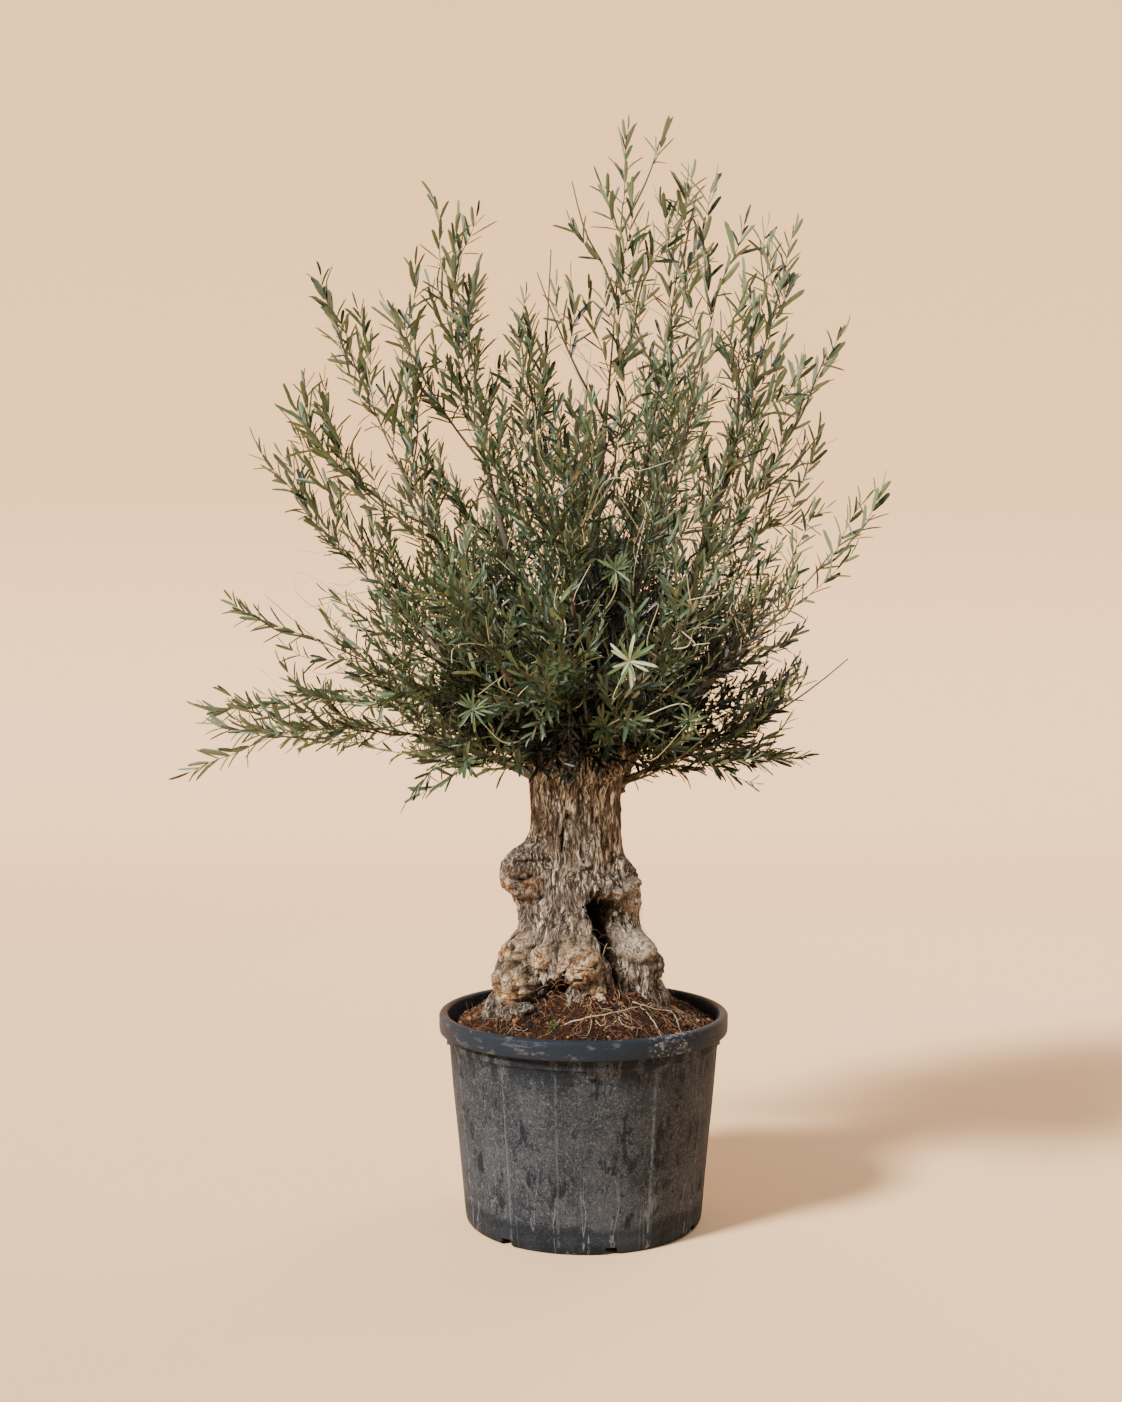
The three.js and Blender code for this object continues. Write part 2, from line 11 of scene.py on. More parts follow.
import bpy
import numpy as np
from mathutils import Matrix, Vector


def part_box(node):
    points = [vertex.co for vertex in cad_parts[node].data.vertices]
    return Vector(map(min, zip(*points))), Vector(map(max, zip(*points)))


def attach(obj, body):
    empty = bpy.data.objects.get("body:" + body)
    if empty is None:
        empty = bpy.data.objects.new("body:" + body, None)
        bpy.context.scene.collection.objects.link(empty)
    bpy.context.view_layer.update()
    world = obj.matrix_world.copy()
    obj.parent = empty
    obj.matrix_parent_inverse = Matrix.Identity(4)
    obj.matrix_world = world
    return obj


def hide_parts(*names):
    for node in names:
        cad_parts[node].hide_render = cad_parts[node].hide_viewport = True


bl_info = {
    "name": "Potted olive tree",
    "version": (1, 0, 0),
    "blender": (4, 5, 0),
    "location": "View3D > Sidebar > Olive",
    "description": "Dresses an old olive tree and its nursery pot, piece by piece",
    "category": "Object",
}

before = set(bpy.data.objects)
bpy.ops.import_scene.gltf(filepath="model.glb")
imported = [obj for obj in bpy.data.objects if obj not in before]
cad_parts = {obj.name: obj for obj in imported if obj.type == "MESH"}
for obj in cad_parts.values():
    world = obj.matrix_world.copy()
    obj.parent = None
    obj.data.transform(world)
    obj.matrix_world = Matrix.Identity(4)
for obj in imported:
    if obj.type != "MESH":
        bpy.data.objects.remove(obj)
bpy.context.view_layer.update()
MM = 0.001
UP = np.array([0, 0, 1.0])

# ------------------------------------------------------------------ sizes, in mm

POT_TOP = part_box("pot")[1].z / MM
RIM_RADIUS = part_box("pot")[1].x / MM
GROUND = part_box("trunk")[0].z / MM  # level of the trunk's flat cut
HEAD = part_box("trunk")[1].z / MM - GROUND  # height of the trunk's rounded top

TRUNK = {
    "waist": 92,
    "waist_height": 470,
    "flare": 112,
    "head": 8,
    "shoulder": 620,
    "offset": 8,
    "lean": 0.018,
    "sides": 300,
    "rings": 318,
}
FLUTES = {"broad": 2.6, "fine": 1.8, "deeper": 1.6, "twist": 260}

# root buttresses: azimuth, how far each stands out at the ground, half width in degrees
BUTTRESSES = [
    (196, 26, 17),
    (238, 12, 14),
    (330, 30, 18),
    (20, 16, 16),
    (70, 26, 18),
    (128, 22, 18),
]
BUTTRESS_HEIGHT = 95

# burls: azimuth, height, how far each stands out, half width along the bark
BURLS = [
    (188, 326, 58, 56),
    (206, 150, 30, 48),
    (267, 150, 30, 46),
    (352, 290, 25, 52),
    (312, 300, 18, 26),
    (334, 158, 36, 48),
    (98, 245, 34, 50),
    (48, 150, 26, 46),
    (140, 420, 18, 40),
]
# Lumps on the bark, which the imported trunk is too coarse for: azimuth, height, how far
# each stands out, half width, and its face: bark, bare tan wood or smooth grey wood.
LUMPS = [
    (268, 160, 19, 43, "tan"),
    (238, 168, 19, 28, "tan"),
    (214, 180, 15, 29, "tan"),
    (219, 106, 19, 36, "tan"),
    (321, 187, 17, 36, "grey"),
    (336, 140, 8, 26, "bark"),
    (331, 300, 10, 21, "grey"),
    (333, 266, 9, 20, "grey"),
    (311, 285, 13, 19, "grey"),
    (335, 334, 9, 27, "bark"),
    (207, 346, 9, 24, "bark"),
    (210, 304, 10, 27, "rust"),
    (252, 214, 6, 17, "bark"),
    (283, 98, 9, 25, "tan"),
    (200, 62, 9, 27, "bark"),
    (345, 84, 9, 28, "bark"),
    (180, 250, 8, 25, "bark"),
    (96, 230, 12, 30, "tan"),
    (60, 170, 12, 26, "bark"),
    (30, 210, 10, 30, "grey"),
    (132, 160, 14, 32, "bark"),
    (150, 330, 9, 26, "rust"),
    (75, 320, 8, 24, "bark"),
    (347, 600, 34, 78, "bark"),
]
BARE_FACES = ("tan", "rust", "grey")
# hollows: azimuth, height, half width, half height, depth, and how far the lower end
# leans to the right
HOLLOWS = [
    (299, 256, 38, 31, 80, 0),
    (296, 207, 23, 60, 62, 10),
    (301, 128, 10, 48, 30, 6),
    (251, 402, 4, 31, 24, -4),
    (258, 447, 6, 7, 16, 0),
    (246, 80, 50, 46, 82, -12),
    (241, 14, 62, 64, 72, 0),
    (214, 352, 12, 9, 14, -4),
    (253, 172, 4, 34, 13, 5),
    (227, 176, 4, 30, 10, -6),
    (322, 232, 5, 26, 14, -7),
    (318, 312, 4, 20, 10, 5),
    (110, 190, 14, 20, 34, 4),
    (66, 230, 6, 34, 22, 6),
]

# The main shoots, a row each: name; azimuth and reach of the tip; height of the tip and
# of the root; turn of the root from the tip's azimuth; the part of the length that is
# bare limb; radius at the root; and, for the middle one, its own root offset.
ROOT_OFFSET = 38
LEADERS = [
    ("crown_top", 347, 92, 1860, 668, 0, 0.2, 22, 4),
    ("top_right", 27, 260, 1823, 650, 0, 0, 14),
    ("right_spire", 338, 327, 1684, 645, 0, 0, 14),
    ("outer_right_spire", 4, 443, 1674, 440, 26, 0.25, 39),
    ("upper_right", 20, 574, 1447, 610, 0, 0, 14),
    ("right", 346, 605, 1105, 525, -26, 0.22, 22),
    ("low_right", 22, 605, 895, 580, 44, 0, 13),
    ("right_skirt", 354, 500, 682, 476, -16, 0, 13),
    ("under_right", 327, 400, 520, 535, -14, 0, 12),
    ("centre_left", 214, 144, 1506, 665, 14, 0, 14),
    ("front_high", 266, 361, 1271, 640, 0, 0.2, 22),
    ("left_spire", 173, 317, 1734, 650, -16, 0.2, 22),
    ("upper_left", 184, 542, 1559, 610, 10, 0.2, 22),
    ("left", 173, 701, 1226, 590, -16, 0.22, 24),
    ("front_left_arm", 201, 612, 985, 580, 8, 0, 14),
    ("low_left", 178, 731, 870, 540, 2, 0.22, 24),
    ("left_skirt", 171, 791, 651, 520, -16, 0, 14),
    ("drooping_left", 186, 812, 530, 500, 10, 0, 14),
    ("under_left", 218, 422, 494, 525, 0, 0, 12),
    ("front_left", 238, 565, 942, 585, 0, 0.22, 22),
    ("front", 265, 582, 850, 570, 0, 0, 14),
    ("front_right", 299, 527, 943, 590, 0, 0.22, 22),
    ("low_front", 282, 470, 656, 535, 0, 0, 13),
    ("high_back_left", 132, 514, 1355, 620, 0, 0.2, 22),
    ("high_back_right", 56, 484, 1518, 625, 0, 0.2, 22),
    ("high_back", 87, 301, 1565, 650, 0, 0, 14),
    ("back", 85, 582, 1097, 590, 0, 0.22, 22),
    ("back_left", 133, 625, 901, 560, 0, 0, 14),
    ("back_right", 48, 622, 901, 560, 18, 0, 14),
    ("low_back", 104, 480, 620, 540, 0, 0, 13),
]
# the leaves of these shoots are joined into one piece each
LEAF_PIECES = {
    "top": ("crown_top", "top_right", "right_spire", "outer_right_spire", "upper_right"),
    "upper_left": ("centre_left", "front_high", "left_spire", "upper_left", "high_back"),
    "right": ("right", "low_right", "right_skirt", "under_right", "front_right"),
    "left": ("left", "front_left_arm", "low_left", "left_skirt", "drooping_left"),
    "front": ("under_left", "front_left", "front", "low_front"),
    "back": ("high_back_left", "high_back_right", "back", "back_left", "back_right", "low_back"),
}

ARCH = {"bend": 0.6, "rise": 0.42, "height": 0.3}
BOUGH = {"tip": 15, "sides": 26, "rings": 44, "collar": (40, 8, 45)}
STEM = {"radius": 14, "tip": 1.6, "taper": 3.6, "sides": 7, "rings": 26, "bare": 0.04}
TWIG = {
    "pitch": 125,
    "first": 0.05,
    "last": 0.92,
    "longest": 0.4,
    "shortest": 0.15,
    "wide_lean": 46,
    "narrow_lean": 24,
    "rise": 0.16,
    "radius": 3.2,
    "tip": 1.3,
    "sides": 5,
    "rings": 9,
    "bow": 0.07,  # how far a twig hangs below its chord, as a part of its length
    "sway": 0.05,
    "bare": 0.3,
}
# a wand is a fine leafy shoot: each of the source's blades stands for some of them
WAND = {
    "length": (270, 150),
    "pitch": 17,
    "lean": (46, 26),
    "end_lean": 4,
    "rise": 0.42,
    "radius": 1.5,
    "tip": 0.6,
    "sides": 3,
    "rings": 6,
    "attempts": 4,
    "longest": 1.1,
    "shortest": 0.5,
    "end_length": 120,
    "end_place": 0.985,
    "sway": 0.055,
    "clear": (15, 50),  # wands keep this far apart, at a leader's root and at its tip
}
SPROUT_PITCH = 14  # sprouts crowd on the bare boughs, where little light comes through
# short sprigs that droop from the trunk's head and from the roots of the shoots
HEAD_SPRIGS = {
    "count": 130,
    "roots": (562, 690),  # heights on the head
    "length": (75, 145),
    "front": 105,  # half width of the strip in front of the trunk
    "lowest_in_front": 535,  # how low their tips reach there, and elsewhere
    "lowest": 568,
    "on_each_shoot": 11,
    "shoot_part": 0.24,
}
# long thin shoots with hardly a leaf
WHIPS = {
    "count": 260,
    "place": (0.1, 0.75),
    "lean": (22, 75),
    "length": (100, 240),
    "bow": 0.2,
    "sway": 0.14,
    "lowest": 590,
    "reach": 115,  # how far their ends may be from a leader
    "rings": 12,
    "sides": 4,
    "radius": 1.35,
    "tip": 0.6,
}
# shoots whose wands don't rise
LEVEL = ("drooping_left", "left_skirt", "under_left", "under_right")
# shoots with closer wands and those with fewer, and what multiplies the gaps between them
DENSE = ("low_right", "right_skirt", "under_right", "low_front", "under_left")
AIRY = ("high_back_left", "crown_top", "top_right", "right_spire", "right", "high_back")
AIRY += ("high_back_right", "upper_right", "low_left", "left_skirt", "drooping_left")
CLEAR = dict.fromkeys(AIRY, 1.42) | dict.fromkeys(DENSE, 0.7)
SPACE = {
    "margin": -10,  # twigs of neighbouring shoots mingle a little, and wands more
    "wand_margin": -45,
    "droop": 28,  # a twig or wand ends no lower than this under its root
    "trunk_clearance": 12,
    "reach": (290, 70),
    "shorter": (1, 0.72, 0.5),
}
# gaps that the crown leaves open towards the front: x, height and radius
CLEARINGS = np.array([
    (-5, 1372, 62), (-268, 1240, 50), (-240, 1172, 42), (-182, 1515, 48), (-588, 1035, 38),
    (-475, 945, 42), (-333, 790, 36), (-612, 1420, 60), (-640, 930, 40), (-560, 1665, 60),
    (288, 1655, 42), (570, 1300, 60), (560, 1180, 50), (650, 1015, 60), (520, 868, 44),
    (545, 690, 40), (322, 1838, 62), (-478, 1560, 36), (-550, 1385, 38), (-792, 702, 38),
    (-795, 608, 32), (-555, 930, 38), (398, 835, 34), (70, 1330, 34), (250, 1400, 30),
    (-410, 1240, 30), (-600, 868, 40), (-430, 850, 34), (-560, 745, 34), (500, 698, 38),
    (462, 885, 34), (545, 1060, 34), (418, 1800, 26), (-395, 1750, 26), (-450, 1240, 26),
    (205, 1445, 26), (365, 1470, 28), (548, 1365, 34), (-470, 795, 30),
])
# side shoots with a place of their own: the shoot they leave and where on it, and the
# azimuth, reach and height of the tip
PLACED_TWIGS = [
    ("left", 0.3, 180, 590, 1248),
    ("left", 0.2, 178, 505, 1120),
    ("left_spire", 0.4, 180, 372, 1425),
    ("upper_left", 0.35, 181, 635, 1290),
    ("upper_left", 0.3, 182, 520, 1180),
    ("left_spire", 0.15, 178, 290, 1110),
    ("centre_left", 0.7, 225, 95, 1590),
    ("crown_top", 0.42, 212, 112, 1545),
    ("right_spire", 0.3, 345, 225, 1250),
    ("right", 0.1, 352, 350, 1010),
    ("right", 0.35, 350, 420, 950),
    ("right_skirt", 0.5, 354, 540, 765),
    ("right_skirt", 0.3, 340, 420, 730),
    ("right_skirt", 0.1, 316, 380, 660),
]
# one more sprig that hangs out of the crown low at the left: root and tip
HANGING_SPRIG = ((-215, -235, 612), (-335, -310, 500))
GOLDEN_TURN = 137.5
FIRST_SEED, SEED_STEP = 1001, 77
SAMPLES = 14  # steps along a leader where its space is measured
SEEDS = {"leaves": 500, "head_leaves": 499, "rosettes": 498, "fibres": 85}
SEEDS |= {"crumbs": 71, "roots": 83, "seedling": 87, "straw": 91}

LEAF = {
    "bare": 0.06,  # part of a wand without leaves at its root
    "lean": (44, 20),  # degrees off the wand, at its root and at its tip
    "end_size": 0.68,  # of the youngest leaves, as a part of the full length
    "size": (0.74, 1.08),  # of the leaves deep in the crown and of those far out
    "size_reach": (330, 1000),
    "vary": 0.23,
    "missing": 0.1,  # part of the leaves that have dropped
    "outward": 0.6,  # how much the upper sides turn away from the middle of the crown
    "keel": 0.2,  # how far the edges stand above the midrib, as a part of the width
    "bend": 0.13,
    "sweep": 0.12,  # how far a leaf curves to one side, as a part of its length
    "thickness": 0.45,
}
# outline of an olive leaf: place along it, half width as a part of the greatest
LEAF_STATIONS = ((0.1, 0.6), (0.48, 1.0), (0.88, 0.76))

# painted shade: sprays that end near the shaded heart of the crown take the darkest colours, and
# those round it deeper greens as a painted half shade
SHADE = {
    "heart": (90, 10, 645),
    "reach": 345,
    "half_shade_reach": 520,
    "vary": 0.25,
    "lit_part": 0.1,  # of the shaded sprays, which catch some light all the same
}
# the leaves' material slots: the colours of their upper sides, then of their undersides
LEAF_COLOURS = ("leaf_shade", "leaf_deep", "leaf_green", "leaf_grey", "leaf_young")
FELT_COLOURS = ("under_shade", "under_silver", "under_green", "under_pale")
SHADE_GREEN, DEEP, GREEN, GREY, YOUNG, SHADE_SILVER, SILVER, THIN_SILVER, PALE = range(9)
GREEN_SHARES = (0.3, 0.42, 0.2, 0.08)  # how many lit wands are deep, green, grey or young
# rosettes of long pale leaves that face the front: their middle, and their leaves' length
ROSETTES = [
    ((73, -540, 762), 50),
    ((50, -470, 925), 40),
    ((-208, -440, 675), 40),
    ((31, -250, 634), 36),
    ((188, -420, 653), 36),
]
ROSETTE = {"count": 19, "lean": (55, 88), "slender": 7.6, "root": (0.6, 0.4, 1.0), "rise": 70}

# the soil's levels are over the pot's underside
SOIL = {
    "edge": 398,
    "rise": 150,
    "mound": 40,
    "mound_x": 30,
    "mound_y": -150,
    "mound_spread": 70,
    "dip": 27,
    "dip_x": -80,
    "dip_y": -168,
    "dip_spread": 46,
    "waves": 2.5,
    "sides": 300,
    "rings": 74,
}
# the long smooth roots that lie on the soil in front: radius, then x and y along each
LONG_ROOTS = [
    (
        1.5,
        ((-40, -206), (-10, -212), (22, -210), (52, -199), (84, -179), (113, -148), (143, -97)),
    ),
    (1.3, ((108, -152), (125, -151), (136, -169), (147, -191), (150, -205))),
    (1.6, ((95, -150), (120, -140), (150, -122), (176, -100), (186, -122), (192, -152))),
    (1.2, ((152, -60), (148, -85), (140, -105), (128, -135))),
    (1.0, ((60, -210), (46, -224), (36, -234))),
    (1.0, ((176, -100), (200, -84), (215, -100))),
    (0.9, ((4, -140), (-2, -162), (-9, -185))),
    (0.9, ((-130, -118), (-141, -146), (-153, -170))),
    (0.8, ((-48, -178), (-61, -191), (-70, -202))),
    (0.9, ((62, -120), (70, -150), (66, -176))),
]
ROOT = {"rings": 16, "sides": 6, "taper": 0.45}
# thin roots, most of them in front on the right, and dead sticks that stand at the left
ROOTLETS = {"count": 66, "in_front": 52, "front": (268, 350), "length": (30, 95)}
STICKS = {"count": 16, "sector": (192, 232), "height": (14, 46), "farthest": 262}
CRUMBS = {"count": 2600, "sizes": (2.0, 3.2, 5.4), "shares": (0.55, 0.33, 0.12)}
STRAW = {"count": 620, "length": (9, 42), "rings": 5, "sides": 3}
FIBRES = {"count": 620, "heights": (5, 60, 300), "rings": 5, "sides": 3, "taper": 0.4}

WALL = 3.5
POT_SIDES = 360
BASE_RADIUS = 245
MOUTH_RADIUS = 281
RIM_BAND = 38
PAD_RADIUS = 190  # of the pad under the middle of the pot
CHANNEL = 17  # height of the hollow underside round the pad
# azimuths between which the wall is set back
PANELS = [(204, 234), (258, 300), (330, 356), (16, 60), (86, 112), (138, 180)]
NOTCH = {"count": 7, "first": 282, "width": 33, "top": 22, "height": 15}
LUG = {"azimuths": (2, 92, 178, 272), "width": 16, "depth": 9, "low": 356, "high": 394}

# the camera and backdrop, in metres
CAMERA_PLACE = (-0.047, -3.498, 1.167)
CAMERA_TILT = 88.455
CAMERA_LENS = 43.4
BACKDROP = {"floor": 60, "distance": 8.0, "height": 9.0, "cove": 2.4}

# ---------------------------------------------------------------------- small maths


def smooth_step(value, low, high):
    """0 up to low and 1 from high on, with a smooth rise between."""
    share = np.clip((value - low) / (high - low), 0, 1)
    return share * share * (3 - 2 * share)


def lerp(low, high, share):
    return low + (high - low) * share


def towards(azimuth, reach, height=0.0):
    """The point at an azimuth, a distance from the axis and a height."""
    angle = math.radians(azimuth)
    return np.array([reach * math.cos(angle), reach * math.sin(angle), height])


def turn_between(start, end):
    """The angle from one azimuth to another, within 180 degrees either way."""
    return (end - start + 540) % 360 - 180


def unit(vectors):
    return vectors / np.linalg.norm(vectors, axis=-1, keepdims=True)


class RandomSource:
    """The same simple random numbers as the source: multiply, take the remainder."""

    def __init__(self, seed):
        self.state = seed

    def __call__(self):
        self.state = self.state * 48271 % 2147483647
        return self.state / 2147483647


def lattice(cells, seed):
    """A random value from -1 to 1 for each whole-numbered cell."""
    mixed = cells[..., 0] * 73856093 ^ cells[..., 1] * 19349663 ^ cells[..., 2] * 83492791
    mixed = (mixed ^ seed * 668265263) & 0xFFFFFFFF
    mixed = (mixed ^ (mixed >> 15)) * 2246822519 & 0xFFFFFFFF
    mixed = (mixed ^ (mixed >> 13)) * 3266489917 & 0xFFFFFFFF
    return (mixed ^ (mixed >> 16)) / 2147483648.0 - 1


def noise(points, cell, seed=1):
    """Smooth random values from -1 to 1 over points, whose cells have the given size."""
    scaled = np.asarray(points, float) / np.asarray(cell, float)
    low = np.floor(scaled).astype(np.int64)
    share = scaled - low
    share = share * share * (3 - 2 * share)
    total = 0
    for corner in np.ndindex(2, 2, 2):
        weight = 1
        for axis, up in enumerate(corner):
            weight = weight * (share[..., axis] if up else 1 - share[..., axis])
        total = total + weight * lattice(low + np.array(corner), seed)
    return total


class Path:
    """A line through points, walked by its length."""

    def __init__(self, points):
        self.points = np.asarray(points, float)
        steps = np.linalg.norm(np.diff(self.points, axis=0), axis=1)
        self.marks = np.concatenate([[0], np.cumsum(steps)])
        self.length = self.marks[-1]

    def at(self, shares):
        where = np.asarray(shares) * self.length
        columns = [np.interp(where, self.marks, column) for column in self.points.T]
        return np.stack(columns, axis=-1)

    def tangent(self, share):
        around = self.at([max(share - 0.01, 0), min(share + 0.01, 1)])
        return unit(around[1] - around[0])

    def part(self, start, end, count):
        return Path(self.at(np.linspace(start, end, count)))


# --------------------------------------------------------------- the tree's own rule


def knob(azimuth, height, spot, radius):
    """A rounded knob that fades to nothing past its half width."""
    spot_azimuth, spot_height, out, half_width = spot
    around = np.radians(turn_between(azimuth, spot_azimuth)) * radius
    distance = np.hypot(around, height - spot_height) / half_width
    return out * np.exp(-(distance**3))


def trunk_column(height):
    """Radius of the plain column, which flares to its foot and swells under the crown."""
    below = np.maximum(0, 1 - height / TRUNK["waist_height"])
    above = smooth_step(height, TRUNK["waist_height"], TRUNK["shoulder"])
    return TRUNK["waist"] + TRUNK["flare"] * below * below + TRUNK["head"] * above


def bough_collars():
    """The swellings of the trunk over the roots of the boughs."""
    over, out, half_width = BOUGH["collar"]
    return [
        (azimuth + turn, root + over, out, half_width)
        for _, azimuth, _, _, root, turn, bough, *_ in LEADERS
        if bough > 0
    ]


def trunk_radius(azimuth, height):
    """Radius of the bark about the bowed axis."""
    column = trunk_column(height)
    angle = np.radians(azimuth)
    twist = height / FLUTES["twist"]
    depth = 1 + FLUTES["deeper"] * np.maximum(0, 1 - height / TRUNK["waist_height"])
    radius = column + depth * FLUTES["broad"] * np.cos(5 * angle + twist)
    radius = radius + depth * FLUTES["fine"] * np.cos(9 * angle - 0.7 - twist)
    for at, out, half_width in BUTTRESSES:
        across = turn_between(azimuth, at) / half_width
        fade = height / BUTTRESS_HEIGHT
        radius = radius + out * np.exp(-across * across - fade * fade)
    for spot in BURLS + bough_collars():
        radius = radius + knob(azimuth, height, spot, column)
    over = np.clip((height - TRUNK["shoulder"]) / (HEAD - TRUNK["shoulder"]), 0, 1)
    return radius * np.sqrt(1 - over * over)


def trunk_axis(height):
    """Middle of the trunk at a height: it leans a little to the left as it rises."""
    height = np.asarray(height, float)
    lean = -TRUNK["offset"] - TRUNK["lean"] * height
    return np.stack([lean, np.zeros_like(height), height], axis=-1)


def distance_from_trunk(points):
    """Rough distance of points from the bark, negative inside the wood."""
    height = np.clip(points[..., 2], 0, HEAD)
    off = points - trunk_axis(height)
    azimuth = np.degrees(np.arctan2(off[..., 1], off[..., 0]))
    beside = np.hypot(off[..., 0], off[..., 1]) - trunk_radius(azimuth, height)
    over = points[..., 2] - HEAD
    return np.where(over > 0, np.hypot(over, np.maximum(beside, 0)), beside)


class Leader:
    """One main shoot: its curve, where it leaves the trunk and where its bough ends."""

    def __init__(self, index, row):
        self.name, azimuth, reach, height, root, turn, bough, self.thick = row[:8]
        offset = row[8] if len(row) > 8 else ROOT_OFFSET
        start = towards(azimuth + turn, offset) + trunk_axis(root)
        end = towards(azimuth, reach, height)
        run = reach - ROOT_OFFSET
        rise = height - root
        arch = ARCH["height"] * run * (1 - min(max(rise / run, 0), 1))
        middle = lerp(start, end, ARCH["bend"])
        middle[2] = root + ARCH["rise"] * rise + arch
        share = np.linspace(0, 1, 10 * SAMPLES + 1)[:, None]
        back = 1 - share
        bend = back * back * start + 2 * back * share * middle + share * share * end
        self.seed = FIRST_SEED + SEED_STEP * index
        self.path = Path(bend)
        self.line = bend[::10]
        self.has_bough = bough > 0
        walk = np.linspace(0, 1, 101)
        outside = distance_from_trunk(self.path.at(walk)) >= 0
        self.exit = walk[np.argmax(outside)]
        self.bough_end = self.exit + bough * (1 - self.exit)
        self.stem_end = 1 - 1.1 * WAND["length"][1] / self.path.length


def in_clearing(points):
    """True if any point would close one of the gaps that the crown shows in front."""
    eye = np.array(CAMERA_PLACE) / MM - np.array([0, 0, GROUND])
    shrink = eye[1] / (eye[1] - points[:, 1])
    across = eye[0] + (points[:, 0] - eye[0]) * shrink
    height = eye[2] + (points[:, 2] - eye[2]) * shrink
    gaps = np.hypot(across[:, None] - CLEARINGS[:, 0], height[:, None] - CLEARINGS[:, 1])
    return bool((gaps < CLEARINGS[:, 2]).any())


class Crown:
    """The leaders together, and the test of which one's space a point is in."""

    def __init__(self):
        self.leaders = [Leader(index, row) for index, row in enumerate(LEADERS)]
        self.starts = np.array([leader.line[:-1] for leader in self.leaders])
        self.steps = np.array([np.diff(leader.line, axis=0) for leader in self.leaders])
        self.squares = (self.steps**2).sum(-1)
        self.taken = np.zeros((0, 3))

    def crowded(self, points, clear):
        """True where a wand would be too near those that are there; else it is noted."""
        gaps = np.linalg.norm(self.taken[:, None] - points, axis=-1)
        if (gaps < clear).any():
            return True
        self.taken = np.concatenate([self.taken, points])
        return False

    def measure(self, points):
        """Distance to each leader, and the place along it, for each point."""
        off = points[:, None, None, :] - self.starts
        along = np.clip((off * self.steps).sum(-1) / self.squares, 0, 1)
        gap = np.linalg.norm(off - along[..., None] * self.steps, axis=-1)
        nearest = gap.argmin(-1)
        places = np.take_along_axis(along, nearest[..., None], -1)[..., 0]
        distances = np.take_along_axis(gap, nearest[..., None], -1)[..., 0]
        return distances, (nearest + places) / SAMPLES

    def in_space(self, points, owner, margin):
        """True where all points are off the trunk and in the owner's space."""
        if (distance_from_trunk(points) < SPACE["trunk_clearance"]).any():
            return False
        if in_clearing(points):
            return False
        distances, places = self.measure(points)
        own, place = distances[:, owner], places[:, owner]
        if (own > lerp(*SPACE["reach"], place * place)).any():
            return False
        others = np.delete(distances, owner, axis=1)
        return bool((own + margin < others.min(1)).all())


def cross_frame(tangent):
    """A side and an upward direction square to a tangent."""
    flat = np.array([0.0, 1.0, 0.0]) if abs(tangent[2]) > 0.999 else UP
    side = unit(np.cross(tangent, flat))
    return side, np.cross(side, tangent)


def leaning(tangent, turn, lean):
    """A direction that leans off the tangent, turned about it."""
    side, raised = cross_frame(tangent)
    turn, lean = math.radians(turn), math.radians(lean)
    across = raised * math.cos(turn) + side * math.sin(turn)
    return tangent * math.cos(lean) + across * math.sin(lean)


def bowed(start, end, bow, count, sway=(0, 0, 0)):
    """A line from start to end that hangs below its chord and sways to both sides."""
    share = np.linspace(0, 1, count)[:, None]
    sag = 4 * bow * share * (1 - share) * UP
    swing = np.sin(2 * math.pi * share) * np.asarray(sway)
    return start + (end - start) * share + np.linalg.norm(end - start) * (swing - sag)


def any_sway(random, most):
    """How far a shoot swings to each side, by chance."""
    return [lerp(-most, most, random()) for _ in range(3)]


def grow_twigs(crown, owner, stem, random):
    """The side twigs of one shoot, each shortened or skipped outside its space."""
    leader = crown.leaders[owner]
    count = max(2, round(stem.length / TWIG["pitch"]))
    twigs = []
    for i in range(count):
        share = i / (count - 1)
        place = lerp(TWIG["first"], TWIG["last"], share)
        turn = i * GOLDEN_TURN + 360 * random()
        lean = lerp(TWIG["wide_lean"], TWIG["narrow_lean"], share)
        spread = lerp(TWIG["longest"], TWIG["shortest"], share) * lerp(0.85, 1.15, random())
        base = stem.at(place)
        reach = leaning(stem.tangent(place), turn, lean)
        reach[2] += TWIG["rise"]
        reach *= leader.path.length * spread
        for shorter in SPACE["shorter"]:
            end = base + shorter * reach
            checks = base + (end - base) * np.linspace(0.25, 1, 4)[:, None]
            if end[2] < base[2] - SPACE["droop"]:
                continue
            if crown.in_space(checks, owner, SPACE["margin"]):
                sway = any_sway(random, TWIG["sway"])
                twigs.append(Path(bowed(base, end, TWIG["bow"], TWIG["rings"], sway)))
                break
    for name, place, *tip in PLACED_TWIGS:
        if name == leader.name:
            line = bowed(stem.at(place), towards(*tip), TWIG["bow"], TWIG["rings"])
            twigs.append(Path(line))
    return twigs


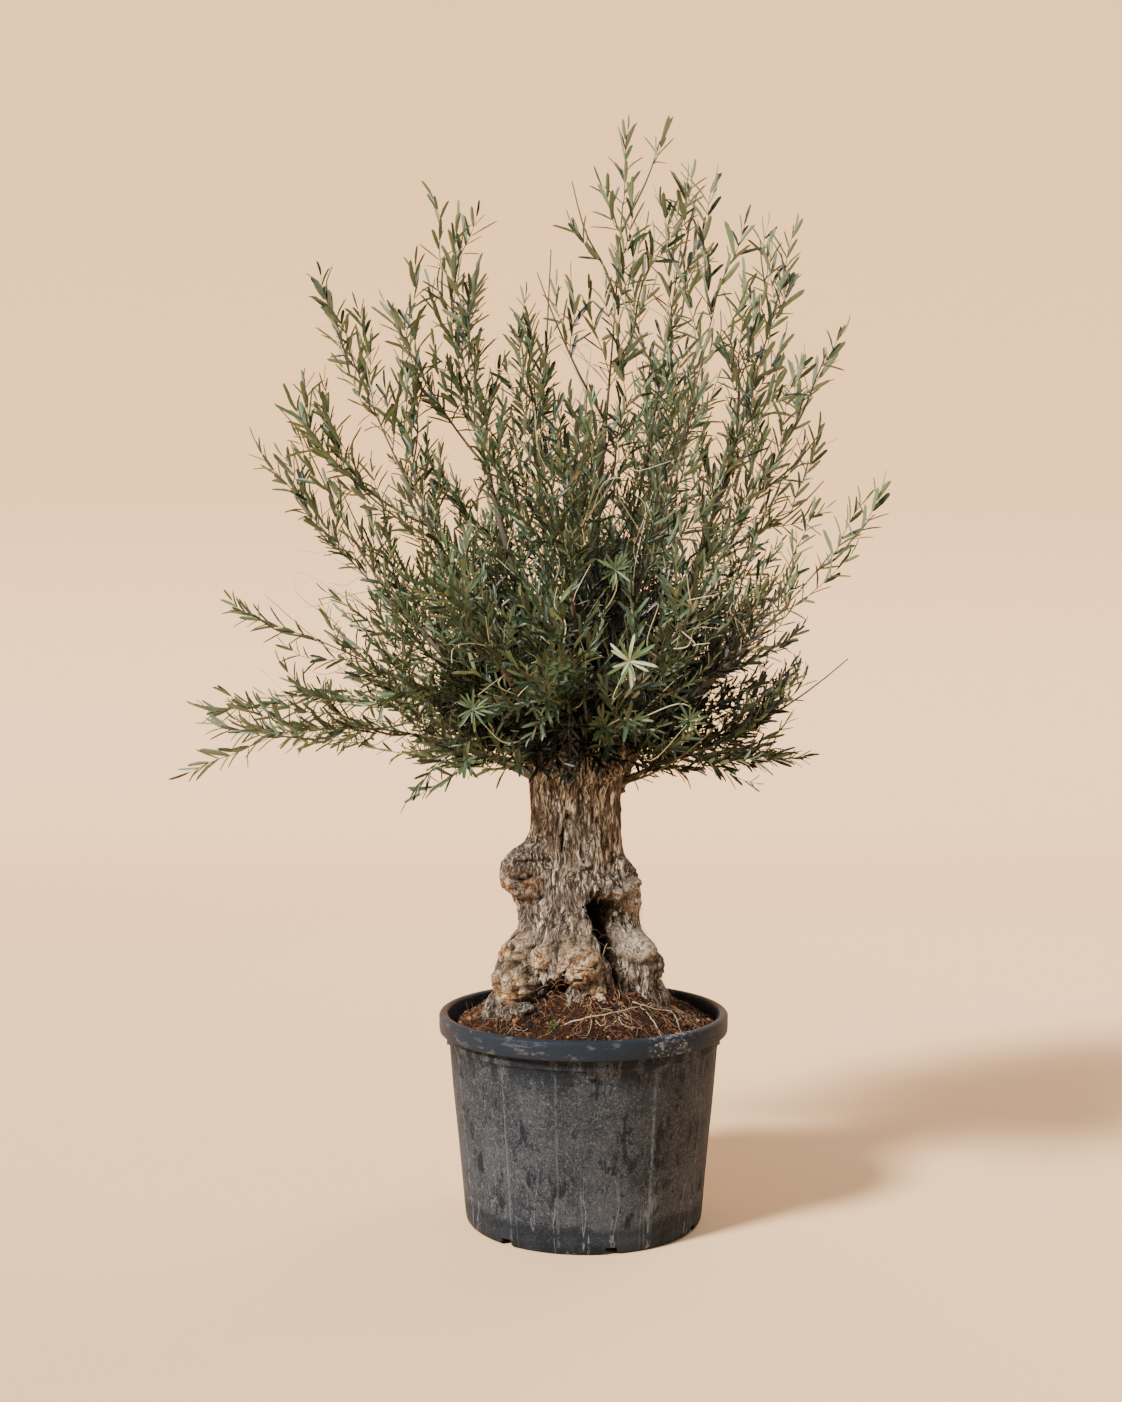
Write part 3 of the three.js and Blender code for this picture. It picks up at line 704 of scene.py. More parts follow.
def grow_wands(crown, owner, path, bare, random, pitch=WAND["pitch"], ends=True, to_tip=False):
    """Leafy wands along a limb, with one more that carries on its end if that is free."""
    leader = crown.leaders[owner]
    count = max(1, round((1 - bare) * path.length / pitch))
    wands = []
    for i in range(count + ends):
        last = i == count
        place = WAND["end_place"] if last else lerp(bare, 1, (i + 0.5 * random()) / count)
        root = path.at(place)
        along = crown.measure(root[None])[1][0, owner]
        clear = 0 if last else lerp(*WAND["clear"], along) * CLEAR.get(leader.name, 1)
        rise = 0 if last or leader.name in LEVEL else WAND["rise"]
        tangent = path.tangent(place)
        for attempt in range(WAND["attempts"]):
            spread = lerp(*WAND["lean"], along) * lerp(0.75, 1.2, random())
            lean = WAND["end_lean"] if last else spread
            turn = i * GOLDEN_TURN + 90 * attempt + 50 * random()
            way = leaning(tangent, turn, lean)
            size = lerp(WAND["shortest"], WAND["longest"], random()) * (1 - 0.15 * attempt)
            length = WAND["end_length"] if last else lerp(*WAND["length"], along) * size
            end = root + unit(way + rise * UP) * length
            if last and to_tip:
                end = leader.path.at(WAND["end_place"])
            checks = root + (end - root) * np.array([[0.5], [1.0]])
            droops = end[2] < root[2] - SPACE["droop"] and not last
            if droops or not crown.in_space(checks, owner, SPACE["wand_margin"]):
                continue
            if not crown.crowded(checks, clear):
                bow = 0.02 if last else lerp(0.0, 0.13, random())
                sway = any_sway(random, WAND["sway"])
                wands.append(bowed(root, end, bow, WAND["rings"], sway))
                break
    return wands


def grow_shoot(crown, owner):
    """One leader's stem, side twigs and wands."""
    leader = crown.leaders[owner]
    random = RandomSource(leader.seed)
    start = leader.bough_end if leader.has_bough else leader.exit * 0.5
    stem = leader.path.part(start, leader.stem_end, STEM["rings"])
    in_trunk = 0 if leader.has_bough else (leader.exit - start) / (leader.stem_end - start)
    twigs = grow_twigs(crown, owner, stem, random)
    wands = grow_wands(crown, owner, stem, STEM["bare"] + in_trunk, random, to_tip=True)
    for twig in twigs:
        wands += grow_wands(crown, owner, twig, TWIG["bare"], random)
    if leader.has_bough:
        bough = leader.path.part(leader.exit, leader.bough_end, STEM["rings"])
        wands += grow_wands(crown, owner, bough, 0.06, random, SPROUT_PITCH, False)
    return {"leader": leader, "stem": stem, "twigs": twigs, "wands": np.array(wands)}


def grow_head_sprigs(crown):
    """Short sprigs out of the trunk's head, which droop in front of its bark, and more
    on the roots of the shoots, where the trunk leaves no room for wands."""
    random = RandomSource(FIRST_SEED - SEED_STEP)
    sprigs = []

    def sprout(root, way):
        end = root + unit(way) * lerp(*HEAD_SPRIGS["length"], random())
        in_front = abs(end[0] - trunk_axis(0.0)[0]) < HEAD_SPRIGS["front"] and end[1] < 0
        lowest = HEAD_SPRIGS["lowest_in_front" if in_front else "lowest"]
        if end[2] < lowest:
            return
        if (distance_from_trunk(end[None]) > SPACE["trunk_clearance"]).all():
            bow = -lerp(0.06, 0.2, random())
            sprigs.append(bowed(root, end, bow, WAND["rings"], any_sway(random, 0.05)))

    for i in range(HEAD_SPRIGS["count"]):
        azimuth = i * GOLDEN_TURN + 30 * random()
        height = lerp(*HEAD_SPRIGS["roots"], random())
        out = towards(azimuth, 1.0)
        root = trunk_axis(height) + out * (trunk_radius(azimuth, height) - 4)
        way = towards(azimuth + lerp(-50, 50, random()), 1.0, lerp(-0.55, 0.5, random()))
        sprout(root, way)
    for leader in crown.leaders:
        for i in range(HEAD_SPRIGS["on_each_shoot"]):
            place = leader.exit + HEAD_SPRIGS["shoot_part"] * random()
            tangent = leader.path.tangent(place)
            way = leaning(tangent, i * GOLDEN_TURN + 40 * random(), lerp(38, 80, random()))
            sprout(leader.path.at(place), way + 0.1 * UP)
    root, tip = np.array(HANGING_SPRIG, float)
    sprigs.append(bowed(root, tip, -0.08, WAND["rings"]))
    return np.array(sprigs)


def grow_whips(crown):
    """Long thin shoots with hardly a leaf, which arch through the crown in loose curves."""
    random = RandomSource(FIRST_SEED - 2 * SEED_STEP)
    whips = []
    for i in range(WHIPS["count"]):
        leader = crown.leaders[int(random() * len(LEADERS))]
        place = leader.exit + lerp(*WHIPS["place"], random()) * (1 - leader.exit)
        root = leader.path.at(place)
        tangent = leader.path.tangent(place)
        way = leaning(tangent, i * GOLDEN_TURN, lerp(*WHIPS["lean"], random()))
        end = root + unit(way + 0.25 * UP) * lerp(*WHIPS["length"], random())
        bow = lerp(-WHIPS["bow"], WHIPS["bow"], random())
        line = bowed(root, end, bow, WHIPS["rings"], any_sway(random, WHIPS["sway"]))
        inside = crown.measure(line[-3:])[0].min(-1).max() < WHIPS["reach"]
        off_trunk = (distance_from_trunk(line[3:]) > SPACE["trunk_clearance"]).all()
        if inside and off_trunk and line[:, 2].min() > WHIPS["lowest"]:
            whips.append(line)
    for tip, _ in ROSETTES:
        root = np.array(tip) * ROSETTE["root"] - ROSETTE["rise"] * UP
        whips.append(bowed(root, tip, 0.09, WHIPS["rings"], any_sway(random, 0.07)))
    return np.array(whips)


# --------------------------------------------------------------------------- meshes


def ring_faces(rings, sides):
    """Triangles and quads of a skin of rings, with one more point to close either end."""
    corner = np.arange(rings * sides).reshape(rings, sides)
    turned = np.roll(corner, -1, axis=1)
    quads = np.stack([corner[:-1], turned[:-1], turned[1:], corner[1:]], -1).reshape(-1, 4)
    first, last = np.full(sides, rings * sides), np.full(sides, rings * sides + 1)
    bottom = np.stack([turned[0], corner[0], first], -1)
    top = np.stack([corner[-1], turned[-1], last], -1)
    return np.concatenate([bottom, top]), quads


def closed_skin(skin, bottom, top):
    """A shape from rings of points and the two points that close it."""
    points = np.concatenate([skin.reshape(-1, 3), [bottom, top]])
    return points, *ring_faces(*skin.shape[:2])


def repeated(faces, count, step):
    """The same faces for each of many shapes, whose points follow one another."""
    shift = np.arange(count)[:, None, None] * step
    return (faces + shift).reshape(-1, faces.shape[-1])


def tubes(lines, radii, sides):
    """Tapering bars along many lines of equal count, closed at both ends.

    Returns the points and the faces as rows of three and of four corners.
    """
    lines = np.asarray(lines, float)
    count, rings = lines.shape[:2]
    tangents = unit(np.gradient(lines, axis=1))
    first = tangents[:, 0]
    helper = np.where(np.abs(first[:, 2:]) > 0.9, [[1.0, 0, 0]], [[0, 0, 1.0]])
    guide = unit(np.cross(first, helper))[:, None, :]
    side = unit(guide - (guide * tangents).sum(-1, keepdims=True) * tangents)
    raised = np.cross(tangents, side)
    angle = np.linspace(0, 2 * math.pi, sides, endpoint=False)[:, None]
    ring = side[:, :, None] * np.cos(angle) + raised[:, :, None] * np.sin(angle)
    radii = np.broadcast_to(radii, (count, rings))
    skin = lines[:, :, None] + ring * radii[:, :, None, None]
    ends = np.stack([lines[:, 0], lines[:, -1] + tangents[:, -1] * radii[:, -1:]], axis=1)
    points = np.concatenate([skin.reshape(count, -1, 3), ends], axis=1)
    faces = [repeated(part, count, rings * sides + 2) for part in ring_faces(rings, sides)]
    return points.reshape(-1, 3), *faces


def merged(parts):
    """Joins several (points, triangles, quads) into one."""
    points, triangles, quads = [], [], []
    shift = 0
    for part_points, part_triangles, part_quads in parts:
        points.append(part_points)
        triangles.append(part_triangles + shift)
        quads.append(part_quads + shift)
        shift += len(part_points)
    return np.concatenate(points), np.concatenate(triangles), np.concatenate(quads)


def mesh_piece(name, shape, materials, slots=None, lift=0.0, sharp=None):
    """An object from arrays: points in millimetres, triangles, then quads."""
    points, triangles, quads = shape
    mesh = bpy.data.meshes.new(name)
    corners = np.concatenate([triangles.ravel(), quads.ravel()]).astype(np.int32)
    sizes = np.repeat([3, 4], [len(triangles), len(quads)])
    starts = np.concatenate([[0], np.cumsum(sizes)[:-1]]).astype(np.int32)
    place = (points + np.array([0, 0, lift])) * MM
    mesh.vertices.add(len(points))
    mesh.vertices.foreach_set("co", place.astype(np.float32).ravel())
    mesh.loops.add(len(corners))
    mesh.loops.foreach_set("vertex_index", corners)
    mesh.polygons.add(len(starts))
    mesh.polygons.foreach_set("loop_start", starts)
    for material in materials:
        mesh.materials.append(material)
    if slots is not None:
        mesh.polygons.foreach_set("material_index", slots.astype(np.int32))
    mesh.update(calc_edges=True)
    mesh.validate()
    mesh.shade_smooth()
    if sharp is not None:
        mesh.set_sharp_from_angle(angle=math.radians(sharp))
    piece = bpy.data.objects.new(name, mesh)
    bpy.context.scene.collection.objects.link(piece)
    return piece


def set_attribute(piece, name, values):
    """Gives every point of a piece a value, which its material reads."""
    attribute = piece.data.attributes.new(name, "FLOAT", "POINT")
    attribute.data.foreach_set("value", np.asarray(values, np.float32))


def vertex_places(piece):
    """Where the points of a piece are, in metres."""
    place = np.zeros(len(piece.data.vertices) * 3, np.float32)
    piece.data.vertices.foreach_get("co", place)
    return place.reshape(-1, 3).astype(float)


def settle(piece, slot, *replaced):
    """A finished piece rides on the root body, and the nodes it replaces are hidden."""
    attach(piece, "root")
    if replaced:
        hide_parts(*replaced)
    return piece


# ---------------------------------------------------------------------- materials


def srgb(code):
    """An sRGB hex value as a linear colour."""
    parts = [int(code[i : i + 2], 16) / 255 for i in (1, 3, 5)]
    return tuple(
        part / 12.92 if part <= 0.04045 else ((part + 0.055) / 1.055) ** 2.4
        for part in parts
    )


def feed(socket, value):
    """Links another node's output to an input, or gives the input a value."""
    if isinstance(value, bpy.types.NodeSocket):
        socket.id_data.links.new(value, socket)
    else:
        socket.default_value = value


def add_node(kind, inputs, tree=None, **settings):
    """Adds a node to a tree, or to the one that the sockets among its inputs are in."""
    sockets = (value for value in inputs.values() if isinstance(value, bpy.types.NodeSocket))
    node = (tree or next(sockets).id_data).nodes.new(kind)
    for key, value in settings.items():
        setattr(node, key, value)
    for key, value in inputs.items():
        feed(node.inputs[key], value)
    return node


def new_material(name, roughness, **values):
    """A material and its Principled shader, with uniform values set on the shader."""
    material = bpy.data.materials.new(name)
    material.use_nodes = True
    shader = material.node_tree.nodes["Principled BSDF"]
    for key, value in {"Roughness": roughness, **values}.items():
        feed(shader.inputs[key], value)
    return material, shader


def plain_material(name, colour, roughness, **values):
    """A material in one of the tree's named colours."""
    material, shader = new_material(name, roughness, **values)
    colour = getattr(bpy.context.scene.olive_colours, colour)
    feed(shader.inputs["Base Color"], (*colour, 1))
    return material


def in_cells(coordinates, size, stretch=(1, 1, 1)):
    """Coordinates counted in cells of a real size in mm, stretched along the axes."""
    inputs = {0: coordinates, 1: tuple(1 / (size * MM * part) for part in stretch)}
    return add_node("ShaderNodeVectorMath", inputs, operation="MULTIPLY").outputs[0]


def pattern(coordinates, size, detail=4, stretch=(1, 1, 1), rough=0.55):
    """A value about 0.5 that varies as noise does, with features of a real size."""
    cells = in_cells(coordinates, size, stretch)
    inputs = {"Vector": cells, "Scale": 1.0, "Detail": detail, "Roughness": rough}
    return add_node("ShaderNodeTexNoise", inputs).outputs["Fac"]


def band(value, low, high):
    """A value brought to 0 below low and 1 above high, smoothly."""
    inputs = {"Value": value, "From Min": low, "From Max": high}
    node = add_node("ShaderNodeMapRange", inputs, interpolation_type="SMOOTHSTEP")
    return node.outputs["Result"]


def arithmetic(operation, first, second=0.0, clamp=True):
    """One sum on values or sockets, kept within 0 and 1 if clamped."""
    inputs = {0: first, 1: second}
    node = add_node("ShaderNodeMath", inputs, operation=operation, use_clamp=clamp)
    return node.outputs[0]


def plus(first, second, clamp=True):
    return arithmetic("ADD", first, second, clamp)


def both(first, *others):
    """Where all of some values are high: their product."""
    for other in others:
        first = arithmetic("MULTIPLY", first, other)
    return first


def either(first, *others):
    """Where any of some values is high: the greatest of them."""
    for other in others:
        first = arithmetic("MAXIMUM", first, other)
    return first


def threads(coordinates, size, width, stretch=(1, 1, 1), detail=2):
    """Thin wandering lines, where noise of the given size crosses its middle."""
    value = pattern(coordinates, size, detail, stretch)
    off = arithmetic("SUBTRACT", value, 0.5, False)
    return band(arithmetic("ABSOLUTE", off, clamp=False), width, 0.0)


def warped(coordinates, size, amount):
    """Coordinates that wander by an amount in mm, over a size in mm."""
    inputs = {"Vector": in_cells(coordinates, size), "Scale": 1.0, "Detail": 2.0}
    drift = add_node("ShaderNodeTexNoise", inputs).outputs["Color"]
    inputs = {0: drift, 1: (0.5, 0.5, 0.5)}
    drift = add_node("ShaderNodeVectorMath", inputs, operation="SUBTRACT").outputs[0]
    inputs = {0: drift, 1: (2 * amount * MM,) * 3, 2: coordinates}
    return add_node("ShaderNodeVectorMath", inputs, operation="MULTIPLY_ADD").outputs[0]


def layered(colour, *layers):
    """A colour with others laid over it in turn, each by its own share."""
    for share, over in layers:
        node = add_node("ShaderNodeMix", {0: share}, data_type="RGBA")
        for place, value in ((6, colour), (7, over)):
            is_socket = isinstance(value, bpy.types.NodeSocket)
            feed(node.inputs[place], value if is_socket else (*value, 1))
        colour = node.outputs[2]
    return colour


def relief(shader, height, distance, strength=1.0):
    """Bump of a real depth in mm from a height that runs from 0 to 1."""
    inputs = {"Height": height, "Distance": distance * MM, "Strength": strength}
    feed(shader.inputs["Normal"], add_node("ShaderNodeBump", inputs).outputs["Normal"])


def object_place(material):
    """Coordinates in metres, fixed to the piece."""
    node = add_node("ShaderNodeTexCoord", {}, material.node_tree)
    return node.outputs["Object"]


def coordinate(coordinates, axis):
    """One of X, Y and Z out of coordinates."""
    return add_node("ShaderNodeSeparateXYZ", {"Vector": coordinates}).outputs[axis]


def attribute(material, name):
    """A value that the piece's points carry."""
    node = add_node("ShaderNodeAttribute", {}, material.node_tree, attribute_name=name)
    return node.outputs["Fac"]


def bark_lines(place, wavy, bare):
    """Thin dark lines, their dark partly painted shade: upright fissures in the bark, and curls
    where the wood is bare.
    """
    fissures = threads(wavy, 13, 0.05, (1, 1, 8))
    cracks = both(threads(wavy, 6, 0.055, (1, 1, 6)), 0.7)
    upright = both(either(fissures, cracks), arithmetic("SUBTRACT", 1.0, bare))
    gnarl = threads(warped(place, 15, 6), 11, 0.035, (1, 1, 1.3), 4)
    return either(upright, both(gnarl, bare))


def bark_material():
    """Olive bark: pale grey-brown ridges parted by thin dark wavy fissures, with bare tan
    and rust wood on some lumps and smooth grey wood on others. The dark of the hollows is painted
    shade, the dark of the furrows and fissures partly painted shade, the palest crests partly
    painted highlight, and the brown near the crown painted shade. Rough, no gloss."""
    sheen = {"Specular IOR Level": 0.25}
    material, shader = new_material("weathered_olive_bark", 0.92, **sheen)
    colours = bpy.context.scene.olive_colours
    place = object_place(material)
    wavy = warped(place, 46, 14)
    tan, rust, grey = (attribute(material, face) for face in BARE_FACES)
    lines = bark_lines(place, wavy, either(tan, rust, grey))

    ribs = pattern(wavy, 6, 5, (1, 1, 7), 0.65)
    patches = pattern(place, 55, 4, (1, 1, 1.8))
    grain = pattern(place, 1.8, 4, (1, 1, 2), 0.7)
    wood = pattern(place, 17, 5, (1, 1, 1.2), 0.6)
    stains = band(pattern(place, 26, 5), 0.48, 0.6)
    tan_wood = layered(colours.bark_mid, (band(wood, 0.4, 0.62), colours.burl_tan))
    grey_wood = layered(colours.bark_mid, (band(wood, 0.42, 0.66), colours.burl_grey))
    # painted shade: the top of the trunk turns darker and browner where the crown shades it
    crown_shade = band(coordinate(place, "Z"), 0.88, 1.0)
    colour = layered(
        # the furrows stay dark and the crests turn pale where the ribs also raise the bump: the
        # bark's own weathered grey, with painted shade and painted highlight
        colours.bark_dark,
        (band(ribs, 0.38, 0.6), colours.bark_mid),
        (both(band(ribs, 0.47, 0.64), band(patches, 0.4, 0.56)), colours.bark_light),
        (both(band(patches, 0.5, 0.36), 0.6), colours.bark_brown_and_crown_shade),
        (both(tan, 0.9), tan_wood),
        (both(stains, 0.85, either(tan, rust)), colours.burl_rust),
        (both(grey, 0.9), grey_wood),
        (both(crown_shade, 0.6), colours.bark_brown_and_crown_shade),
        (both(lines, 0.9), colours.bark_groove_shade),
        (both(band(grain, 0.47, 0.36), 0.6), colours.bark_groove_shade),
        # painted shade in the fissures, pits, creases and hollows, and over the boughs, carried
        # by the pieces' points
        (attribute(material, "groove_shade"), colours.bark_groove_shade),
    )
    feed(shader.inputs["Base Color"], colour)

    bumps = plus(both(ribs, 0.4), both(grain, 0.3))
    relief(shader, arithmetic("SUBTRACT", bumps, both(lines, 0.5), False), 7)
    return material


def pot_dust(height, clouds, grit, wall):
    """Cloudy dust on the walls, hardly any on the rim, and most of it near the foot."""
    dust = plus(both(band(clouds, 0.34, 0.66), 0.5), 0.4)
    grainy = plus(both(band(grit, 0.38, 0.62), 1.1), 0.3, clamp=False)
    dust = both(dust, grainy, plus(both(wall, 0.86), 0.14))
    low = both(band(height, 0.24, 0.06), band(clouds, 0.42, 0.6))
    return plus(dust, both(low, 0.25))


def rubbed_clean_and_rim_shade(place, height, clouds):
    """Where a wall shows its dark plastic: blotches, broad scratches and a strip along the
    foot where it has lost its dust, and streaks under the rim that are painted shade."""
    blotches = band(pattern(place, 48, 6, (1, 1, 2.2), 0.68), 0.56, 0.61)
    streaks = band(pattern(place, 26, 5, (1, 1, 5), 0.62), 0.46, 0.53)
    # painted shade: dark streaks in the top of the wall, under the rim
    under_rim = both(streaks, band(height, 0.3, 0.37))
    scratches = threads(warped(place, 48, 26), 62, 0.022, (1, 1, 1.7), 3)
    chosen = band(pattern(place, 50, 3), 0.47, 0.53)
    foot = plus(height, both(clouds, 0.05), clamp=False)
    foot = both(band(foot, 0.088, 0.07), 0.9)
    return either(blotches, under_rim, both(scratches, chosen), foot)


def worn_pale_and_highlit(place, height, edges):
    """Pale wear and painted highlight along the panels' edges, and pale drips low on the wall."""
    drips = both(threads(place, 60, 0.008, (1, 1, 30), 3), band(height, 0.2, 0.05))
    worn = either(both(edges, 0.2), both(drips, 0.5))
    return both(worn, band(pattern(place, 18, 4), 0.36, 0.5))


def rim_chalk(place, rim):
    """A chalky smear on the rim, to the right of the middle in front and at the back."""
    side = coordinate(place, "X")
    spot = both(band(side, 0.115, 0.14), band(side, 0.215, 0.19))
    chalk = pattern(warped(place, 12, 8), 9, 5, (1, 1, 0.7), 0.7)
    return both(band(chalk, 0.53, 0.58), spot, rim, 0.75)


def plastic_material():
    """Nursery-pot polyethylene, moulded black: a satin blue-grey rim over walls that are
    grey with dust, hairline scuffs, pale drips, panel edges pale with wear and painted highlight,
    darker blotches where it rubbed off, and streaks of painted shade under the rim."""
    sheen = {"Specular IOR Level": 0.06, "IOR": 1.5}
    material, shader = new_material("scuffed_black_polyethylene", 0.5, **sheen)
    colours = bpy.context.scene.olive_colours
    place = object_place(material)
    height = coordinate(place, "Z")
    wall = both(band(height, 0.395, 0.388), band(height, -0.01, 0.06))
    rim = band(height, 0.39, 0.396)
    clouds = pattern(place, 90, 6, (1, 1, 1.4), 0.62)
    grit = pattern(place, 2.8, 4, (1, 1, 1), 0.75)
    fine_hairs = threads(warped(place, 9, 5), 9, 0.012)
    long_hairs = threads(warped(place, 21, 9), 16, 0.009, (1, 1, 1.6), 4)
    hairs = either(fine_hairs, long_hairs)
    dust = pot_dust(height, clouds, grit, wall)
    clean_and_rim_shade = rubbed_clean_and_rim_shade(place, height, clouds)
    smears = pattern(place, 42, 6, (1, 1, 0.35), 0.66)
    rubbed = both(band(smears, 0.56, 0.63), 0.6, rim)
    colour = layered(
        colours.plastic,
        (dust, colours.dust),
        (both(hairs, 0.5, wall), colours.scuff),
        (both(clean_and_rim_shade, wall, 0.76), colours.plastic),
        (worn_pale_and_highlit(place, height, attribute(material, "edge")), colours.scuff),
        (rim, colours.rim),
        (rubbed, colours.rim_scuff),
        (rim_chalk(place, rim), colours.scuff),
    )
    feed(shader.inputs["Base Color"], colour)

    inputs = {"Value": either(dust, rubbed), "To Min": 0.4, "To Max": 0.8}
    feed(shader.inputs["Roughness"], add_node("ShaderNodeMapRange", inputs).outputs["Result"])
    bumps = plus(plus(both(grit, 0.35), both(hairs, 0.3)), both(clouds, 0.35))
    relief(shader, bumps, 0.9, 0.8)
    return material


def soil_material():
    """Moist peat and loam: crumbly orange-brown, with painted shade in the gaps between the
    crumbs.
    """
    sheen = {"Specular IOR Level": 0.2}
    material, shader = new_material("moist_peat", 0.95, **sheen)
    colours = bpy.context.scene.olive_colours
    place = object_place(material)
    crumbs = pattern(place, 4.5, 6, (1, 1, 1), 0.72)
    patches = pattern(place, 45, 4)
    fibres = threads(warped(place, 14, 9), 10, 0.03, (1, 1, 1), 3)
    colour = layered(
        # painted shade: the gaps between the crumbs, low in the bump, keep the dark soil
        colours.soil_dark,
        (band(crumbs, 0.45, 0.6), colours.soil),
        (both(band(crumbs, 0.54, 0.7), band(patches, 0.4, 0.6)), colours.soil_light),
        (both(fibres, 0.35), colours.soil_light),
        (both(band(patches, 0.46, 0.62), 0.45), colours.soil_dark),
    )
    feed(shader.inputs["Base Color"], colour)
    relief(shader, crumbs, 9)
    return material


# ----------------------------------------------------------------------- the pieces


def creased(value, width):
    """1 along the lines where noise passes through 0, and 0 beyond their half width."""
    return 1 - np.minimum(np.abs(value) / width, 1)


def lump_relief(azimuth, height):
    """How far the lumps stand out, and where their tan, rust and grey faces are."""
    column = trunk_column(height)
    out = np.zeros_like(height)
    creases = np.zeros_like(height)
    faces = {face: np.zeros_like(height) for face in ("bark", *BARE_FACES)}
    for at, middle, high, half_width, face in LUMPS:
        around = np.radians(turn_between(at, azimuth)) * column
        spot = np.stack([around + at, height, column], -1)
        ragged = 1 + 0.3 * noise(spot, (19, 19, 60), 33) + 0.12 * noise(spot, (7, 7, 30), 34)
        distance = np.hypot(around, height - middle) / half_width * ragged
        dome = np.exp(-(distance**3))
        crease = np.exp(-(((distance - 1.12) / 0.2) ** 2))
        out = out + high * dome - 4.5 * crease
        creases = np.maximum(creases, crease)
        faces[face] = np.maximum(faces[face], dome)
    return out, creases, faces


def trunk_relief(points, azimuth, height):
    """How far the bark stands in or out, the painted shade of its fissures, pits and folds, and
    its faces, from 0 to 1.

    The cells of the noise are in mm: long ones make ridges and fissures that run up the
    trunk, and short ones the knots and folds of the burls.
    """
    wander = noise(points, (42, 42, 100), 3)[..., None] * np.array([17, 17, 0])
    strands = points + wander
    lumps, creases, faces = lump_relief(azimuth, height)
    gnarled = faces["tan"] + faces["grey"] + faces["rust"] + 0.5 * faces["bark"]
    foot = np.exp(-((np.maximum(height, 0) / 150) ** 4))
    gnarled = np.clip(gnarled + 0.5 * foot, 0, 1)
    fissure = np.zeros_like(height)
    for seed, cell, depth in ((11, (15, 15, 110), 1.0), (12, (9, 9, 60), 0.7)):
        crease = creased(noise(strands, cell, seed), 0.26)
        fissure = np.maximum(fissure, depth * crease**1.4)
    broad = noise(strands, (24, 24, 110), 13)
    fine = noise(strands, (5.5, 5.5, 22), 14)
    knots = noise(points, (23, 23, 20), 21) + 0.6 * noise(points, (10, 10, 9), 22)
    folded = points + noise(points, 21, 24)[..., None] * np.array([8, 8, 8])
    fold = creased(noise(folded, (15, 15, 19), 25), 0.22)
    small_fold = creased(noise(folded, 8, 26), 0.3)
    plain = 1 - 0.8 * gnarled
    rough = 1 - 0.75 * faces["grey"]
    out = plain * (-4.6 * fissure + 2.4 * broad + 1.2 * fine)
    out = out + lumps + gnarled * rough * (3.6 * knots + 1.4 * noise(points, 5, 23))
    out = out - gnarled * rough * (5.2 * fold**1.5 + 2.2 * small_fold**1.5)
    pits = np.clip(-knots - 0.5, 0, 1) * gnarled * rough
    out = out - 8 * pits
    folds = gnarled * rough * np.maximum(0.85 * fold**2, 0.5 * small_fold**2)
    # painted shade: fissures, pits, the creases round the lumps and the folds are darkened by
    # their depth
    groove_shade = np.clip(0.6 * fissure * plain + 1.7 * pits + 0.3 * creases + folds, 0, 1)
    return out, groove_shade, faces


def hollow_depth(azimuth, height):
    """Depth of the cavities, slits and pits, and the painted shade that darkens their insides."""
    depth = np.zeros_like(height)
    dark = np.zeros_like(height)
    column = trunk_column(height)
    for at, middle, half_width, half_height, deep, lean in HOLLOWS:
        rise = (height - middle) / half_height
        around = np.radians(turn_between(at, azimuth)) * column + lean * rise
        spot = np.stack([around + at, height, column], -1)
        ragged = 1 + 0.42 * noise(spot, (12, 19, 40), 31) + 0.2 * noise(spot, (5, 7, 9), 32)
        distance = np.hypot(around / half_width, rise) * ragged
        depth = np.maximum(depth, deep * (1 - smooth_step(distance, 0.3, 1.2)))
        # painted shade: the deeper a hollow, the darker its inside
        dark = np.maximum(dark, min(1, deep / 24) * (1 - smooth_step(distance, 0.66, 1.2)))
    return depth, dark


def build_trunk(bark):
    """The trunk as one skin of rings, pushed in and out by its relief and hollows."""
    sides, rings = TRUNK["sides"], TRUNK["rings"]
    share = np.linspace(0, 1, rings, endpoint=False)
    heights = HEAD * (share + 0.12 * share * share * (1 - share))
    azimuth = np.linspace(0, 360, sides, endpoint=False)
    height, around = np.meshgrid(heights, azimuth, indexing="ij")
    radius = trunk_radius(around, height)
    angle = np.radians(around)
    outward = np.stack([np.cos(angle), np.sin(angle), np.zeros_like(angle)], -1)
    skin = trunk_axis(height) + outward * radius[..., None]
    out, groove_shade, faces = trunk_relief(skin, around, height)
    deep, dark = hollow_depth(around, height)
    open_bark = 1 - dark
    out = np.maximum(out * open_bark * np.clip(radius / 60, 0, 1) - deep, 12 - radius)
    skin = skin + outward * out[..., None]
    shape = closed_skin(skin, trunk_axis(0.0), trunk_axis(HEAD))
    trunk = mesh_piece("gnarled_trunk", shape, [bark], lift=GROUND)
    # the painted shade of the hollows is laid over that of the fissures
    groove_shade = np.maximum(groove_shade, dark)
    set_attribute(trunk, "groove_shade", np.append(groove_shade.ravel(), [0, 0]))
    for face in BARE_FACES:
        set_attribute(trunk, face, np.append((faces[face] * open_bark).ravel(), [0, 0]))
    return settle(trunk, "bark", "trunk")


